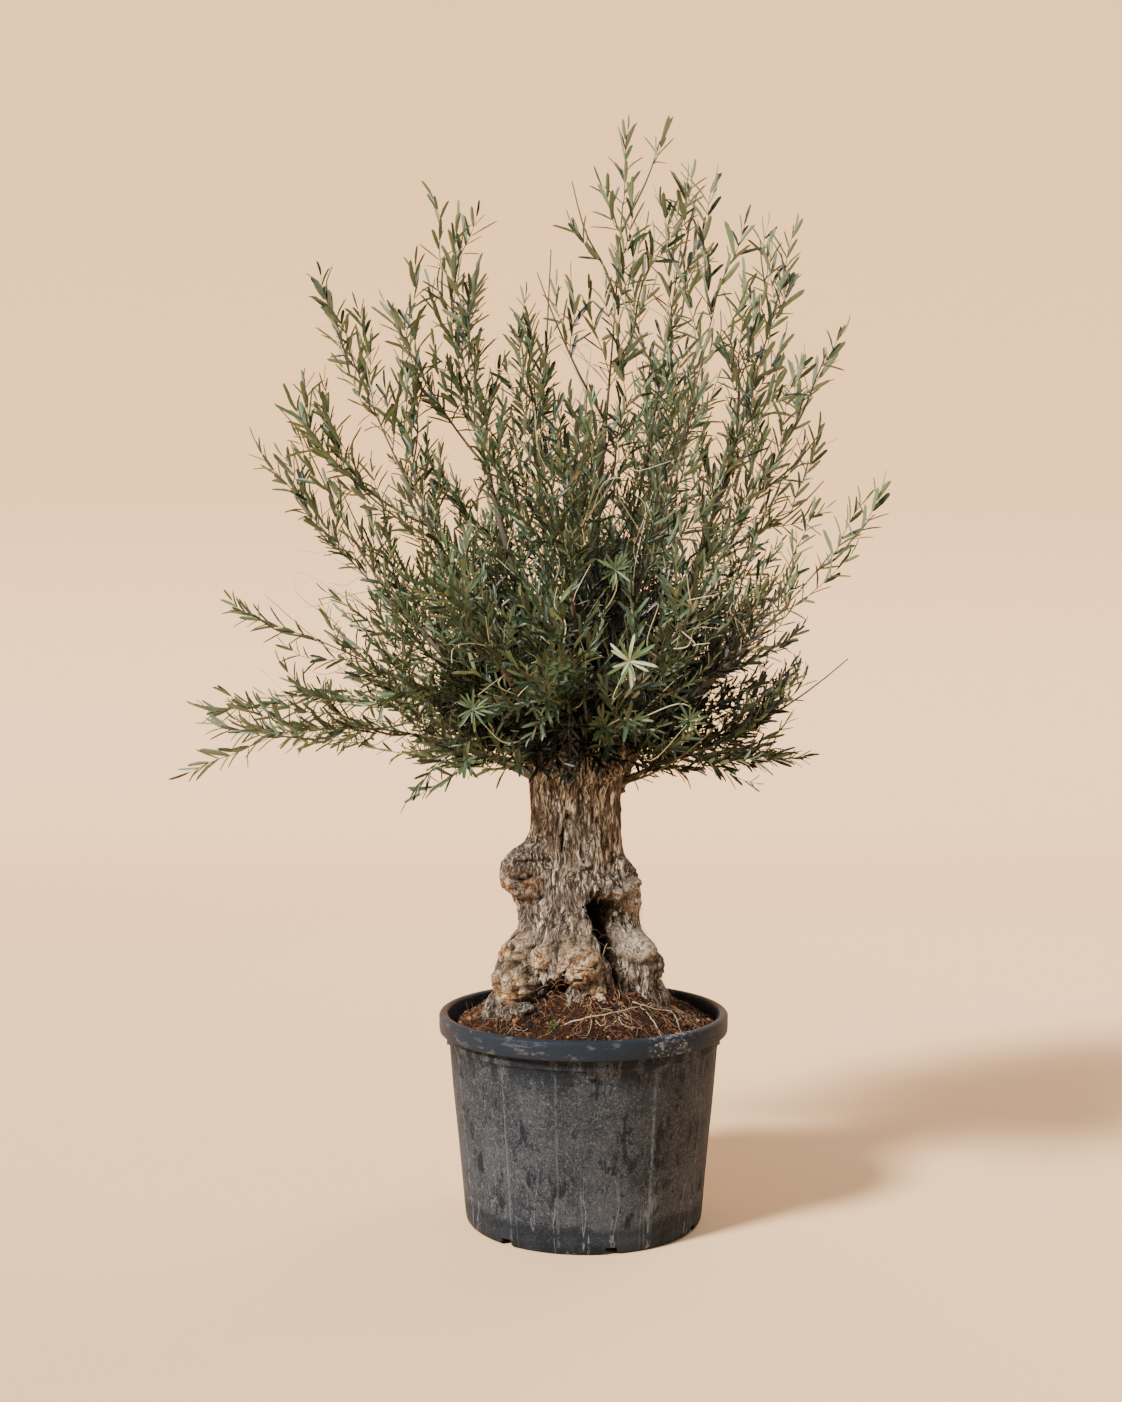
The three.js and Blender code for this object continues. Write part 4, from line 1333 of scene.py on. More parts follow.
def build_boughs(crown, bark):
    """The bare limbs, with the bark's ridges running along them, darkened all over by painted
    shade of the crown.
    """
    parts, grooves = [], []
    for leader in crown.leaders:
        if not leader.has_bough:
            continue
        line = leader.path.part(leader.exit / 2, leader.bough_end, BOUGH["rings"])
        radii = np.linspace(leader.thick, BOUGH["tip"], BOUGH["rings"])
        points, triangles, quads = tubes([line.points], radii, BOUGH["sides"])
        centre = np.repeat(line.points, BOUGH["sides"], axis=0)
        skin = points[:-2]
        outward = unit(skin - centre)
        strands = noise(skin, (10, 10, 44), 41)
        crease = creased(strands, 0.35) ** 1.5
        lump = noise(skin, 34, 42) * 0.12 * np.repeat(radii, BOUGH["sides"])
        points[:-2] = skin + outward * (lump - 2.4 * crease)[:, None]
        parts.append((points, triangles, quads))
        # painted shade: every bough takes most of the fissure colour, as the crown shades it, and
        # more in its creases
        grooves.append(np.append(0.72 + 0.28 * crease, [0, 0]))
    boughs = mesh_piece("boughs", merged(parts), [bark], lift=GROUND)
    set_attribute(boughs, "groove_shade", np.concatenate(grooves))
    for face in BARE_FACES:
        set_attribute(boughs, face, np.zeros(len(boughs.data.vertices)))
    names = [f"bough_{leader.name}" for leader in crown.leaders if leader.has_bough]
    return settle(boughs, "bark", *names)


def build_twigs(shoots, sprigs, whips):
    """Stems, side twigs, the wands' own wood and whips, in four plain colours."""
    materials = [
        plain_material("grey_twig_bark", "twig_grey", 0.8),
        plain_material("brown_twig_bark", "twig_brown", 0.75),
        plain_material("green_shoot_bark", "twig_green", 0.65),
        plain_material("pale_whip_bark", "whip", 0.7),
    ]
    fade = np.linspace(1, 0, STEM["rings"]) ** STEM["taper"]
    twig_radii, wand_radii, whip_radii = (
        np.linspace(kind["radius"], kind["tip"], kind["rings"]) for kind in (TWIG, WAND, WHIPS)
    )
    bars = []
    for shoot in shoots:
        radius = min(STEM["radius"], shoot["leader"].thick)
        stem_radii = STEM["tip"] + (radius - STEM["tip"]) * fade
        bars.append((0, [shoot["stem"].points], stem_radii, STEM["sides"]))
        if shoot["twigs"]:
            lines = [twig.points for twig in shoot["twigs"]]
            bars.append((1, lines, twig_radii, TWIG["sides"]))
        bars.append((1, shoot["wands"][::2], wand_radii, WAND["sides"]))
        bars.append((2, shoot["wands"][1::2], wand_radii, WAND["sides"]))
    bars.append((1, sprigs, wand_radii, WAND["sides"]))
    bars.append((3, whips, whip_radii, WHIPS["sides"]))
    parts = [tubes(*bar[1:]) for bar in bars]
    slots = [
        np.full(len(part[kind]), bar[0]) for kind in (1, 2) for part, bar in zip(parts, bars)
    ]
    twigs = mesh_piece("twigs", merged(parts), materials, np.concatenate(slots), lift=GROUND)
    return settle(twigs, "bark")


def leaf_template():
    """One leaf lying along X: an upper skin keeled along its midrib and a lower one.

    A point is its part of the length, its part of the half width, whether the keel lifts
    it, and whether it is under the leaf. The upper faces come first, as many as the lower.
    """
    points = [(0, 0, 0, 0), (1, 0, 0, 0)]
    for place, half in LEAF_STATIONS:
        points += [(place, -half, 1, 0), (place, half, 1, 0), (place, 0, 0, 0), (place, 0, 0, 1)]
    stations = [range(2 + 4 * i, 6 + 4 * i) for i in range(len(LEAF_STATIONS))]
    right, left, top, under = stations[0]
    upper_triangles = [(0, right, top), (0, top, left)]
    lower_triangles = [(0, under, right), (0, left, under)]
    right, left, top, under = stations[-1]
    upper_triangles += [(right, 1, top), (top, 1, left)]
    lower_triangles += [(1, right, under), (1, under, left)]
    upper_quads, lower_quads = [], []
    for start, end in zip(stations, stations[1:]):
        right, left, top, under = start
        far_right, far_left, far_top, far_under = end
        upper_quads += [(right, far_right, far_top, top), (top, far_top, far_left, left)]
        lower_quads += [(right, under, far_under, far_right), (under, left, far_left, far_under)]
    triangles = np.array(upper_triangles + lower_triangles)
    return np.array(points, float), triangles, np.array(upper_quads + lower_quads)


def leaf_facing(way, tangent, turn, outward, chance):
    """Where a leaf's upper side looks: up its wand, out of the crown and to the sky."""
    face = tangent - way * (tangent @ way)
    face = face if face @ face > 1e-3 else leaning(tangent, turn, 90)
    face = 0.6 * unit(face) + LEAF["outward"] * outward + 0.3 * UP
    face = face + chance.normal(0, 0.38, 3)
    return unit(face - way * (face @ way))


def place_leaves(wands, chance):
    """Opposite pairs of leaves up each wand, each pair turned a quarter from the last."""
    sizes = bpy.context.scene.olive_sizes
    full, slender = sizes.leaf_length / MM, sizes.leaf_slenderness
    internode = sizes.leaf_spacing / MM
    rows = []
    for number, wand in enumerate(wands):
        path = Path(wand)
        out = wand[-1] - trunk_axis(HEAD)
        far = np.linalg.norm(out)
        outward = unit(out * np.array([1, 1, 0.3]))
        grown = lerp(*LEAF["size"], smooth_step(far, *LEAF["size_reach"]))
        step = internode * grown
        pairs = max(3, round(path.length * (1 - LEAF["bare"]) / step))
        start_turn = chance.uniform(0, 360)
        for i in range(pairs + 1):
            share = LEAF["bare"] + (1 - LEAF["bare"]) * i / pairs
            root, tangent = path.at(share), path.tangent(share)
            size = full * grown * lerp(1.0, LEAF["end_size"], smooth_step(share, 0.55, 1.0))
            size *= lerp(0.8, 1, smooth_step(share, 0, 0.3))
            lean = lerp(*LEAF["lean"], share)
            ends = 1 if i == pairs else 2
            for side in range(ends):
                if chance.random() < LEAF["missing"]:
                    continue
                turn = start_turn + 90 * i + 180 * side + chance.uniform(-34, 34)
                off = 3 if ends == 1 else lean + chance.uniform(-14, 19)
                way = unit(leaning(tangent, turn, off) + UP * chance.uniform(-0.02, 0.16))
                face = leaf_facing(way, tangent, turn, outward, chance)
                length = size * chance.uniform(1 - LEAF["vary"], 1 + LEAF["vary"])
                rows.append((*root, *way, *face, length, length / slender, number))
    return np.array(rows)


def leaf_shapes(rows, chance):
    """Leaves from rows of root, direction, facing, length, width and wand, bent by chance."""
    template, triangles, quads = leaf_template()
    roots, ways, faces = rows[:, 0:3], rows[:, 3:6], rows[:, 6:9]
    across = np.cross(faces, ways)
    lengths, widths = rows[:, 9, None], rows[:, 10, None]
    bend = LEAF["bend"] * chance.uniform(-0.4, 1.9, (len(rows), 1)) * lengths
    along = template[:, 0] * lengths
    sweep = LEAF["sweep"] * chance.uniform(-1, 1, (len(rows), 1)) * lengths
    side = template[:, 1] * widths / 2 + sweep * template[:, 0] ** 2
    rise = template[:, 2] * np.abs(template[:, 1]) * widths * LEAF["keel"]
    rise = rise - template[:, 3] * LEAF["thickness"] - bend * template[:, 0] ** 2
    points = roots[:, None] + along[..., None] * ways[:, None]
    points = points + side[..., None] * across[:, None] + rise[..., None] * faces[:, None]
    faces = [repeated(part, len(rows), len(template)) for part in (triangles, quads)]
    return points.reshape(-1, 3), *faces


def upper_or_lower(upper, lower):
    """Material slots of all leaves' triangles and then quads, half of each turned up."""
    slots = np.where(np.arange(8) < 4, upper[:, None], lower[:, None]).ravel()
    return np.concatenate([slots, slots])


def leaf_slots(rows, wands, chance):
    """Which plain colour each face takes, by wand: a green above and a silver below,
    with painted shade: the darkest of each near the head, and deeper greens round it."""
    wand = rows[:, 11].astype(int)
    count = len(wands)
    depth = np.linalg.norm(wands[:, -1] - np.array(SHADE["heart"]), axis=-1)
    depth = depth * chance.uniform(1 - SHADE["vary"], 1 + SHADE["vary"], count)
    shaded = depth < SHADE["reach"]
    upper = chance.choice([DEEP, GREEN, GREY, YOUNG], count, p=GREEN_SHARES)
    # painted half shade: deeper greens for the sprays round the shaded heart
    half_shaded = chance.choice([DEEP, DEEP, GREEN, GREY], count)
    upper = np.where(depth < SHADE["half_shade_reach"], half_shaded, upper)
    lower = chance.choice([SILVER, THIN_SILVER], count)
    unlit = chance.random(count) > SHADE["lit_part"]
    upper = np.where(shaded & unlit, SHADE_GREEN, upper)
    lower = np.where(shaded, SHADE_SILVER, lower)
    return upper_or_lower(upper[wand], lower[wand])


def leaf_materials():
    """Olive leaves: waxy grey-green above, with a matt silvery felt below."""
    sheen = {"Specular IOR Level": 0.35}
    waxy = [plain_material(f"waxy_{key}", key, 0.42, **sheen) for key in LEAF_COLOURS]
    return waxy + [plain_material(f"felted_{key}", key, 0.8) for key in FELT_COLOURS]


def build_leaf_piece(name, wands, materials, seed, replaced):
    """All leaves of some wands as one piece."""
    chance = np.random.default_rng(seed)
    rows = place_leaves(wands, chance)
    shape = leaf_shapes(rows, chance)
    slots = leaf_slots(rows, wands, chance)
    piece = mesh_piece(f"leaves_{name}", shape, materials, slots, GROUND, sharp=60)
    return settle(piece, "leaves", *replaced)


def build_rosettes(materials):
    """Shoot tips seen end on, whose pale leaves stand out in a star."""
    chance = np.random.default_rng(SEEDS["rosettes"])
    count = ROSETTE["count"]
    rows = []
    for number, (middle, length) in enumerate(ROSETTES):
        middle = np.array(middle, float)
        facing = unit(middle * np.array([0.5, 1, 0]) + chance.normal(0, 60, 3))
        for i in range(count):
            lean = lerp(*ROSETTE["lean"], i / count)
            way = leaning(facing, i * GOLDEN_TURN + chance.uniform(-14, 14), lean)
            face = unit(facing - way * (facing @ way) + chance.normal(0, 0.12, 3))
            face = unit(face - way * (face @ way))
            size = length * chance.uniform(0.8, 1.15) * (0.75 + 0.25 * i / count)
            root = middle - facing * 10 * i / count
            rows.append((*root, *way, *face, size, size / ROSETTE["slender"], number))
    rows = np.array(rows)
    pale = chance.choice([YOUNG, PALE, PALE], len(rows))
    green = chance.choice([GREEN, GREY, YOUNG], len(rows))
    upper = np.where(rows[:, 11] < 1, pale, green)  # the first rosette is the palest
    slots = upper_or_lower(upper, np.full(len(rows), SILVER))
    shape = leaf_shapes(rows, chance)
    piece = mesh_piece("leaves_rosettes", shape, materials, slots, GROUND, sharp=60)
    return settle(piece, "leaves")


def build_leaves(shoots, sprigs):
    """The crown's leaves in six pieces, with those of the head and the rosettes."""
    materials = leaf_materials()
    by_name = {shoot["leader"].name: shoot for shoot in shoots}
    for number, (name, members) in enumerate(LEAF_PIECES.items()):
        wands = np.concatenate([by_name[member]["wands"] for member in members])
        replaced = [f"foliage_{member}" for member in members]
        build_leaf_piece(name, wands, materials, SEEDS["leaves"] + number, replaced)
    build_leaf_piece("head", sprigs, materials, SEEDS["head_leaves"], [])
    build_rosettes(materials)


# ------------------------------------------------------------------- pot and soil


def pot_bore(height):
    """Inside radius of the pot's wall at a height."""
    rise = (height - 7) / (POT_TOP - RIM_BAND - 7)
    return lerp(BASE_RADIUS, MOUTH_RADIUS, rise) - WALL


def rounded(centre, radius, start, end, steps):
    """Points of an arc in a turned profile, by angle from outward to upward."""
    angles = np.radians(np.linspace(start, end, steps))
    return [
        (centre[0] + radius * math.cos(a), centre[1] + radius * math.sin(a)) for a in angles
    ]


def pot_profile():
    """Outside of the pot from the underside's middle up, over the rim and down inside."""
    under_rim = POT_TOP - RIM_BAND
    raised = CHANNEL + WALL
    foot = BASE_RADIUS - 3
    lip = RIM_RADIUS - 1.2
    # the pad, the hollow round it and the foot ring
    outside = [(20, 0), (110, 0), (PAD_RADIUS, 0), (PAD_RADIUS + 1, 1.5)]
    outside += [(PAD_RADIUS + WALL, CHANNEL), (foot - 8, CHANNEL), (foot - 8, 0.6), (foot - 7, 0)]
    outside += rounded((foot - 6.5, 9), 9, -82, 0, 5)
    # the wall, and a step that stiffens its top
    wall_levels = [16, 24, 40, 80, 130, 180, 230, 280, 330, 352, 366]
    outside += [(pot_bore(level) + WALL, level) for level in wall_levels]
    outside += [(MOUTH_RADIUS - 1.5, 369), (MOUTH_RADIUS + 1.5, 371), (MOUTH_RADIUS + 1.8, 391)]
    # the rim band, rolled over at the top
    outside += [(lip - 5, under_rim - 1.5)]
    outside += rounded((lip - 3.5, under_rim + 2), 3.5, -90, 0, 4)
    outside += [(lip + 1, under_rim + 12), (lip + 0.8, POT_TOP - 15)]
    outside += rounded((RIM_RADIUS - 9, POT_TOP - 9), 9, 14, 90, 7)
    outside += rounded((RIM_RADIUS - 12, POT_TOP - 6.5), 6.5, 100, 178, 6)
    # down inside, to the middle of the bottom
    outside += [(pot_bore(under_rim) + 2, POT_TOP - 18)]
    inner_levels = [392, 360, 300, 200, 90, raised + 8]
    outside += [(pot_bore(level), level) for level in inner_levels]
    outside += [(pot_bore(raised) - 5, raised), (PAD_RADIUS, raised)]
    outside += [(PAD_RADIUS - WALL, WALL), (20, WALL)]
    return outside


def select_faces(piece, wanted):
    """Selects in edit mode the faces whose middle (in mm) passes the test."""
    bpy.ops.mesh.select_mode(type="FACE")
    bpy.ops.mesh.select_all(action="DESELECT")
    bpy.ops.object.mode_set(mode="OBJECT")
    for polygon in piece.data.polygons:
        x, y, z = (part / MM for part in polygon.center)
        azimuth = math.degrees(math.atan2(y, x)) % 360
        polygon.select = wanted(math.hypot(x, y), azimuth, z)
    bpy.ops.object.mode_set(mode="EDIT")


def turned_pot():
    """A ring of edges drawn out through each radius and height of the profile in turn."""
    bpy.ops.object.select_all(action="DESELECT")
    profile = pot_profile()
    radius, height = profile[0]
    bpy.ops.mesh.primitive_circle_add(
        vertices=POT_SIDES, radius=radius * MM, location=(0, 0, height * MM)
    )
    pot = bpy.context.object
    pot.name = "nursery_pot"
    bpy.ops.object.transform_apply(location=True, rotation=True, scale=True)
    bpy.ops.object.mode_set(mode="EDIT")
    bpy.ops.mesh.select_mode(type="VERT")
    bpy.ops.mesh.select_all(action="SELECT")
    for next_radius, next_height in profile[1:]:
        rise = (next_height - height) * MM
        bpy.ops.mesh.extrude_region_move(TRANSFORM_OT_translate={"value": (0, 0, rise)})
        grow = next_radius / radius
        bpy.ops.transform.resize(value=(grow, grow, 1), center_override=(0, 0, 0))
        radius, height = next_radius, next_height
    bpy.ops.mesh.merge(type="CENTER")
    bpy.ops.mesh.select_all(action="DESELECT")
    bpy.ops.object.mode_set(mode="OBJECT")
    for vertex in pot.data.vertices:
        distance = math.hypot(vertex.co.x, vertex.co.y) / MM
        vertex.select = abs(distance - profile[0][0]) < 1 and vertex.co.z < 1 * MM
    bpy.ops.object.mode_set(mode="EDIT")
    bpy.ops.mesh.merge(type="CENTER")
    bpy.ops.mesh.select_all(action="SELECT")
    bpy.ops.mesh.normals_make_consistent(inside=False)
    return pot


def press_panels(pot):
    """Upright panels of the wall, set in by a soft step."""
    for low, high in PANELS:
        def on_panel(radius, azimuth, height, low=low, high=high):
            inside = radius < pot_bore(height) + WALL / 2
            return not inside and low < azimuth < high and 24 < height < 364

        select_faces(pot, on_panel)
        bpy.ops.mesh.inset(thickness=3.5 * MM, depth=-2.2 * MM, use_even_offset=True)
    bpy.ops.object.mode_set(mode="OBJECT")


def combine(piece, tool, kind):
    """Cuts a tool out of a piece or joins it on, and removes the tool."""
    bpy.ops.object.select_all(action="DESELECT")
    bpy.context.view_layer.objects.active = piece
    piece.select_set(True)
    change = piece.modifiers.new("change", "BOOLEAN")
    change.object, change.operation, change.solver = tool, kind, "EXACT"
    bpy.ops.object.modifier_apply(modifier=change.name)
    bpy.data.objects.remove(tool)


def cut_notches(pot):
    """Drain notches through the foot ring, each a tapered block cut away."""
    half, top, height = NOTCH["width"] / 2, NOTCH["top"] / 2, NOTCH["height"]
    quads = [(0, 3, 2, 1), (4, 5, 6, 7), (0, 1, 5, 4), (1, 2, 6, 5), (2, 3, 7, 6), (3, 0, 4, 7)]
    empty = np.zeros((0, 3), int)
    for i in range(NOTCH["count"]):
        azimuth = NOTCH["first"] + 360 * i / NOTCH["count"]
        points = [
            towards(azimuth, reach, level) + towards(azimuth + 90, across)
            for reach in (BASE_RADIUS - 22, BASE_RADIUS + 12)
            for across, level in ((-half, -5), (half, -5), (top, height), (-top, height))
        ]
        cutter = mesh_piece("notch_cutter", (np.array(points), empty, np.array(quads)), [])
        combine(pot, cutter, "DIFFERENCE")


def add_lugs(pot):
    """Small upright lugs under the rim, which keep stacked pots from jamming."""
    for azimuth in LUG["azimuths"]:
        reach = pot_bore(LUG["low"]) + WALL / 2 + LUG["depth"] / 2
        middle = towards(azimuth, reach, (LUG["low"] + LUG["high"]) / 2) * MM
        bpy.ops.object.select_all(action="DESELECT")
        bpy.ops.mesh.primitive_cube_add(
            size=1, location=middle, rotation=(0, 0, math.radians(azimuth))
        )
        lug = bpy.context.object
        lug.scale = (LUG["depth"] * MM, LUG["width"] * MM, (LUG["high"] - LUG["low"]) * MM)
        bpy.ops.object.transform_apply(location=True, rotation=True, scale=True)
        bpy.ops.object.mode_set(mode="EDIT")
        bpy.ops.mesh.bevel(offset=1.5 * MM, segments=2)
        bpy.ops.object.mode_set(mode="OBJECT")
        combine(pot, lug, "UNION")


def build_pot():
    """The pot: turned, then panelled, notched, fitted with lugs and worn."""
    pot = turned_pot()
    press_panels(pot)
    cut_notches(pot)
    add_lugs(pot)
    dent_pot(pot)
    mark_panel_edges(pot)
    bpy.ops.object.shade_smooth_by_angle(angle=math.radians(35))
    pot.data.materials.append(plastic_material())
    return settle(pot, "pot_plastic", "pot")


def mark_panel_edges(pot):
    """A value that is 1 along the upright edges of the panels, where wear and painted highlight
    make them pale.
    """
    x, y, z = vertex_places(pot).T / MM
    azimuth = np.degrees(np.arctan2(y, x)) % 360
    edges = np.array(PANELS).reshape(-1, 1)
    nearest = np.abs(turn_between(edges, azimuth)).min(0)
    on_wall = (np.hypot(x, y) > pot_bore(z) + WALL / 2) & (z > 12) & (z < 362)
    set_attribute(pot, "edge", np.clip(1.6 - nearest / 0.6, 0, 1) * on_wall)


def dent_pot(pot):
    """Years of handling leave the wall and rim very slightly out of true."""
    place = vertex_places(pot)
    points = place / MM
    radius = np.hypot(points[:, 0], points[:, 1])
    out = 1.3 * noise(points, (150, 150, 130), 51) + 0.35 * noise(points, (34, 34, 60), 52)
    share = smooth_step(points[:, 2], 30, 140) * (radius > PAD_RADIUS + 10)
    grow = 1 + out * share / np.maximum(radius, 1)
    place[:, :2] *= grow[:, None]
    pot.data.vertices.foreach_set("co", place.astype(np.float32).ravel())
    pot.data.update()


def soil_level(x, y):
    """Height of the soil, which is heaped to the trunk, over the pot's underside."""
    from_axis = np.hypot(x, y) / pot_bore(SOIL["edge"])
    away = np.hypot(x - SOIL["mound_x"], y - SOIL["mound_y"]) / SOIL["mound_spread"]
    beside = np.hypot(x - SOIL["dip_x"], y - SOIL["dip_y"]) / SOIL["dip_spread"]
    waves = SOIL["waves"] * np.sin(x / 31) * np.cos(y / 23)
    waves = waves - SOIL["dip"] * np.exp(-0.5 * beside * beside)
    rise = SOIL["rise"] * (1 - from_axis) + SOIL["mound"] * np.exp(-0.5 * away * away)
    return SOIL["edge"] + rise + waves


def rough_soil(x, y):
    """The soil's level with its clods and crumbs."""
    flat = np.stack([x, y, np.zeros_like(x)], -1)
    clods = 5 * noise(flat, (38, 38, 1), 61) + 2.4 * noise(flat, (14, 14, 1), 62)
    return soil_level(x, y) + clods + 1.5 * noise(flat, (6, 6, 1), 63)


def build_soil():
    """The soil's rough top, and its underside round the pot's pad."""
    sides, rings = SOIL["sides"], SOIL["rings"]
    edge = pot_bore(SOIL["edge"]) - 0.3
    radius, azimuth = np.meshgrid(
        edge * np.linspace(1, 0, rings, endpoint=False) ** 0.8,
        np.radians(np.linspace(0, 360, sides, endpoint=False)),
        indexing="ij",
    )
    x, y = radius * np.cos(azimuth), radius * np.sin(azimuth)
    level = rough_soil(x, y)
    level[0] = np.minimum(level[0], SOIL["edge"] + 4)
    top = np.stack([x, y, level], -1)
    floor = WALL + 0.3
    raised = floor + CHANNEL
    under = [
        np.stack([np.cos(azimuth[0]) * reach, np.sin(azimuth[0]) * reach, 0 * x[0] + height], -1)
        for reach, height in (
            (PAD_RADIUS - WALL, floor),
            (PAD_RADIUS - 1, raised + 1),
            (pot_bore(raised) - 6, raised + 1),
        )
    ]
    skin = np.concatenate([under, top])
    shape = closed_skin(skin, (0, 0, floor), (0, 0, float(rough_soil(0.0, 0.0))))
    soil = mesh_piece("potting_soil", shape, [soil_material()])
    return settle(soil, "potting_soil", "soil")


def on_soil(azimuth, reach, over=0.0):
    """A place on the soil, or over it."""
    x, y, _ = towards(azimuth, reach)
    return np.array([x, y, float(rough_soil(x, y)) + over])


def trunk_foot(azimuth, level):
    """Distance of the bark from the pot's axis at a level over the pot's underside."""
    return float(trunk_radius(azimuth, max(level - GROUND, 0.0)))


def icosahedron():
    """The twelve corners and twenty faces of a ball of triangles, one unit in radius."""
    golden = (1 + 5**0.5) / 2
    first = [(-1, golden, 0), (1, golden, 0), (-1, -golden, 0), (1, -golden, 0)]
    corners = np.concatenate([np.roll(first, turns, axis=1) for turns in range(3)])
    faces = [(0, 11, 5), (0, 5, 1), (0, 1, 7), (0, 7, 10), (0, 10, 11)]
    faces += [(1, 5, 9), (5, 11, 4), (11, 10, 2), (10, 7, 6), (7, 1, 8)]
    faces += [(3, 9, 4), (3, 4, 2), (3, 2, 6), (3, 6, 8), (3, 8, 9)]
    faces += [(4, 9, 5), (2, 4, 11), (6, 2, 10), (8, 6, 7), (9, 8, 1)]
    return unit(corners), np.array(faces)


def build_crumbs():
    """Loose crumbs of soil, in three sizes, half sunk in the surface."""
    chance = np.random.default_rng(SEEDS["crumbs"])
    count = CRUMBS["count"]
    angle = np.radians(chance.uniform(0, 360, count))
    edge = pot_bore(SOIL["edge"]) - 5
    reach = np.sqrt(chance.uniform(0.2, 1, count)) * edge
    x, y = reach * np.cos(angle), reach * np.sin(angle)
    size = chance.choice(CRUMBS["sizes"], count, p=CRUMBS["shares"])
    size = size * chance.uniform(0.7, 1.3, count)
    centre = np.stack([x, y, rough_soil(x, y) + 0.1 * size], -1)
    ball, faces = icosahedron()
    shape = ball * chance.uniform(0.6, 1.15, (count, len(ball), 1)) * size[:, None, None]
    points = (centre[:, None] + shape * np.array([1, 1, 0.75])).reshape(-1, 3)
    slots = np.repeat(chance.choice(3, count, p=[0.42, 0.48, 0.1]), len(faces))
    materials = [
        plain_material("dark_peat_crumb", "soil_dark", 0.95),
        plain_material("peat_crumb", "soil", 0.95),
        plain_material("dry_peat_crumb", "soil_light", 0.95),
    ]
    shape = (points, repeated(faces, count, len(ball)), np.zeros((0, 4), int))
    return settle(mesh_piece("soil_crumbs", shape, materials, slots, sharp=25), "potting_soil")


def crawling(start, azimuth, length, chance, steps, wobble, over):
    """A root or straw that crawls over the soil, turning a little as it goes."""
    x, y = start
    heading = azimuth
    points = []
    swing = chance.uniform(-1, 1) * wobble
    for _ in range(steps):
        edge = pot_bore(SOIL["edge"]) - 6
        reach = math.hypot(x, y)
        if reach > edge:
            x, y = x * edge / reach, y * edge / reach
        points.append((x, y, float(rough_soil(x, y)) + over))
        heading += swing + chance.normal(0, wobble)
        swing *= 0.8
        x += length / steps * math.cos(math.radians(heading))
        y += length / steps * math.sin(math.radians(heading))
    return np.array(points)


def lying(points, over, steps):
    """A root through the given places on the soil, its bends made smooth."""
    line = Path(points).at(np.linspace(0, 1, steps))
    line[1:-1] = (line[:-2] + 2 * line[1:-1] + line[2:]) / 4
    return np.column_stack([line, rough_soil(line[:, 0], line[:, 1]) + over])


def build_bars(name, bars, materials, slots, sides, taper=1.0, lift=0.0):
    """A piece of many thin bars, each of which has a line, a radius and a material."""
    lines = [line for line, _ in bars]
    radii = np.array([[radius] for _, radius in bars]) * np.linspace(1, taper, len(lines[0]))
    shape = tubes(lines, radii, sides)
    every_slot = [np.repeat(slots, len(faces) // len(bars)) for faces in shape[1:]]
    return mesh_piece(name, shape, materials, np.concatenate(every_slot), lift)


def build_roots():
    """Pale surface roots that wander over the soil, most of them in front on the right,
    with thinner brown ones, and a few bare sticks at the left."""
    chance = np.random.default_rng(SEEDS["roots"])
    rings = ROOT["rings"]
    bars = [(lying(points, radius, rings), radius) for radius, points in LONG_ROOTS]
    slots = [0] * len(bars)
    for number in range(ROOTLETS["count"]):
        in_front = number < ROOTLETS["in_front"]
        azimuth = chance.uniform(*(ROOTLETS["front"] if in_front else (0, 360)))
        foot = trunk_foot(azimuth, 445)
        start = towards(azimuth, foot + chance.uniform(-8, 50))
        way = azimuth + chance.uniform(-95, 95)
        length = chance.uniform(*ROOTLETS["length"])
        over = chance.uniform(0.6, 3.4)
        line = crawling(start[:2], way, length, chance, rings, 26, over)
        bars.append((line, chance.uniform(0.45, 0.9)))
        slots.append(0 if chance.random() < 0.2 else 1)
    for _ in range(STICKS["count"]):
        azimuth = chance.uniform(*STICKS["sector"])
        foot = trunk_foot(azimuth, 440)
        reach = min(foot + chance.uniform(4, 40), STICKS["farthest"])
        root = on_soil(azimuth, reach, -3)
        lean = towards(azimuth + chance.uniform(-60, 60), chance.uniform(2, 26), 1)
        tip = root + lean + UP * chance.uniform(*STICKS["height"])
        bars.append((bowed(root, tip, 0.1, rings), chance.uniform(0.4, 0.8)))
        slots.append(1)
    materials = [
        plain_material("dry_root_bark", "root", 0.8),
        plain_material("brown_rootlet_bark", "rootlet", 0.85),
    ]
    roots = build_bars("surface_roots", bars, materials, slots, ROOT["sides"], ROOT["taper"])
    return settle(roots, "potting_soil")


def build_bark_fibres():
    """Frayed fibres of bark that hang on the lower trunk."""
    chance = np.random.default_rng(SEEDS["fibres"])
    bars = []
    for _ in range(FIBRES["count"]):
        azimuth = chance.uniform(0, 360)
        height = chance.triangular(*FIBRES["heights"])
        out = towards(azimuth, 1.0)
        skin = trunk_axis(height) + out * (trunk_radius(azimuth, height) - 3)
        slide = towards(azimuth + 90, chance.uniform(-26, 26), -chance.uniform(-4, 24))
        end = skin + slide + out * chance.uniform(3, 11)
        below = trunk_axis(end[2])
        azimuth_end = math.degrees(math.atan2(end[1] - below[1], end[0] - below[0]))
        least = trunk_radius(azimuth_end, max(end[2], 0.0)) + 2
        reach = max(math.hypot(end[0] - below[0], end[1] - below[1]), float(least))
        end = below + towards(azimuth_end, reach)
        line = bowed(skin, end, -chance.uniform(0.05, 0.3), FIBRES["rings"])
        bars.append((line, chance.uniform(0.35, 0.8)))
    slots = chance.choice(2, len(bars), p=[0.8, 0.2])
    materials = [
        plain_material("frayed_bark_fibre", "rootlet", 0.9),
        plain_material("pale_bark_fibre", "root", 0.9),
    ]
    sides, taper = FIBRES["sides"], FIBRES["taper"]
    fibres = build_bars("bark_fibres", bars, materials, slots, sides, taper, GROUND)
    return settle(fibres, "bark")


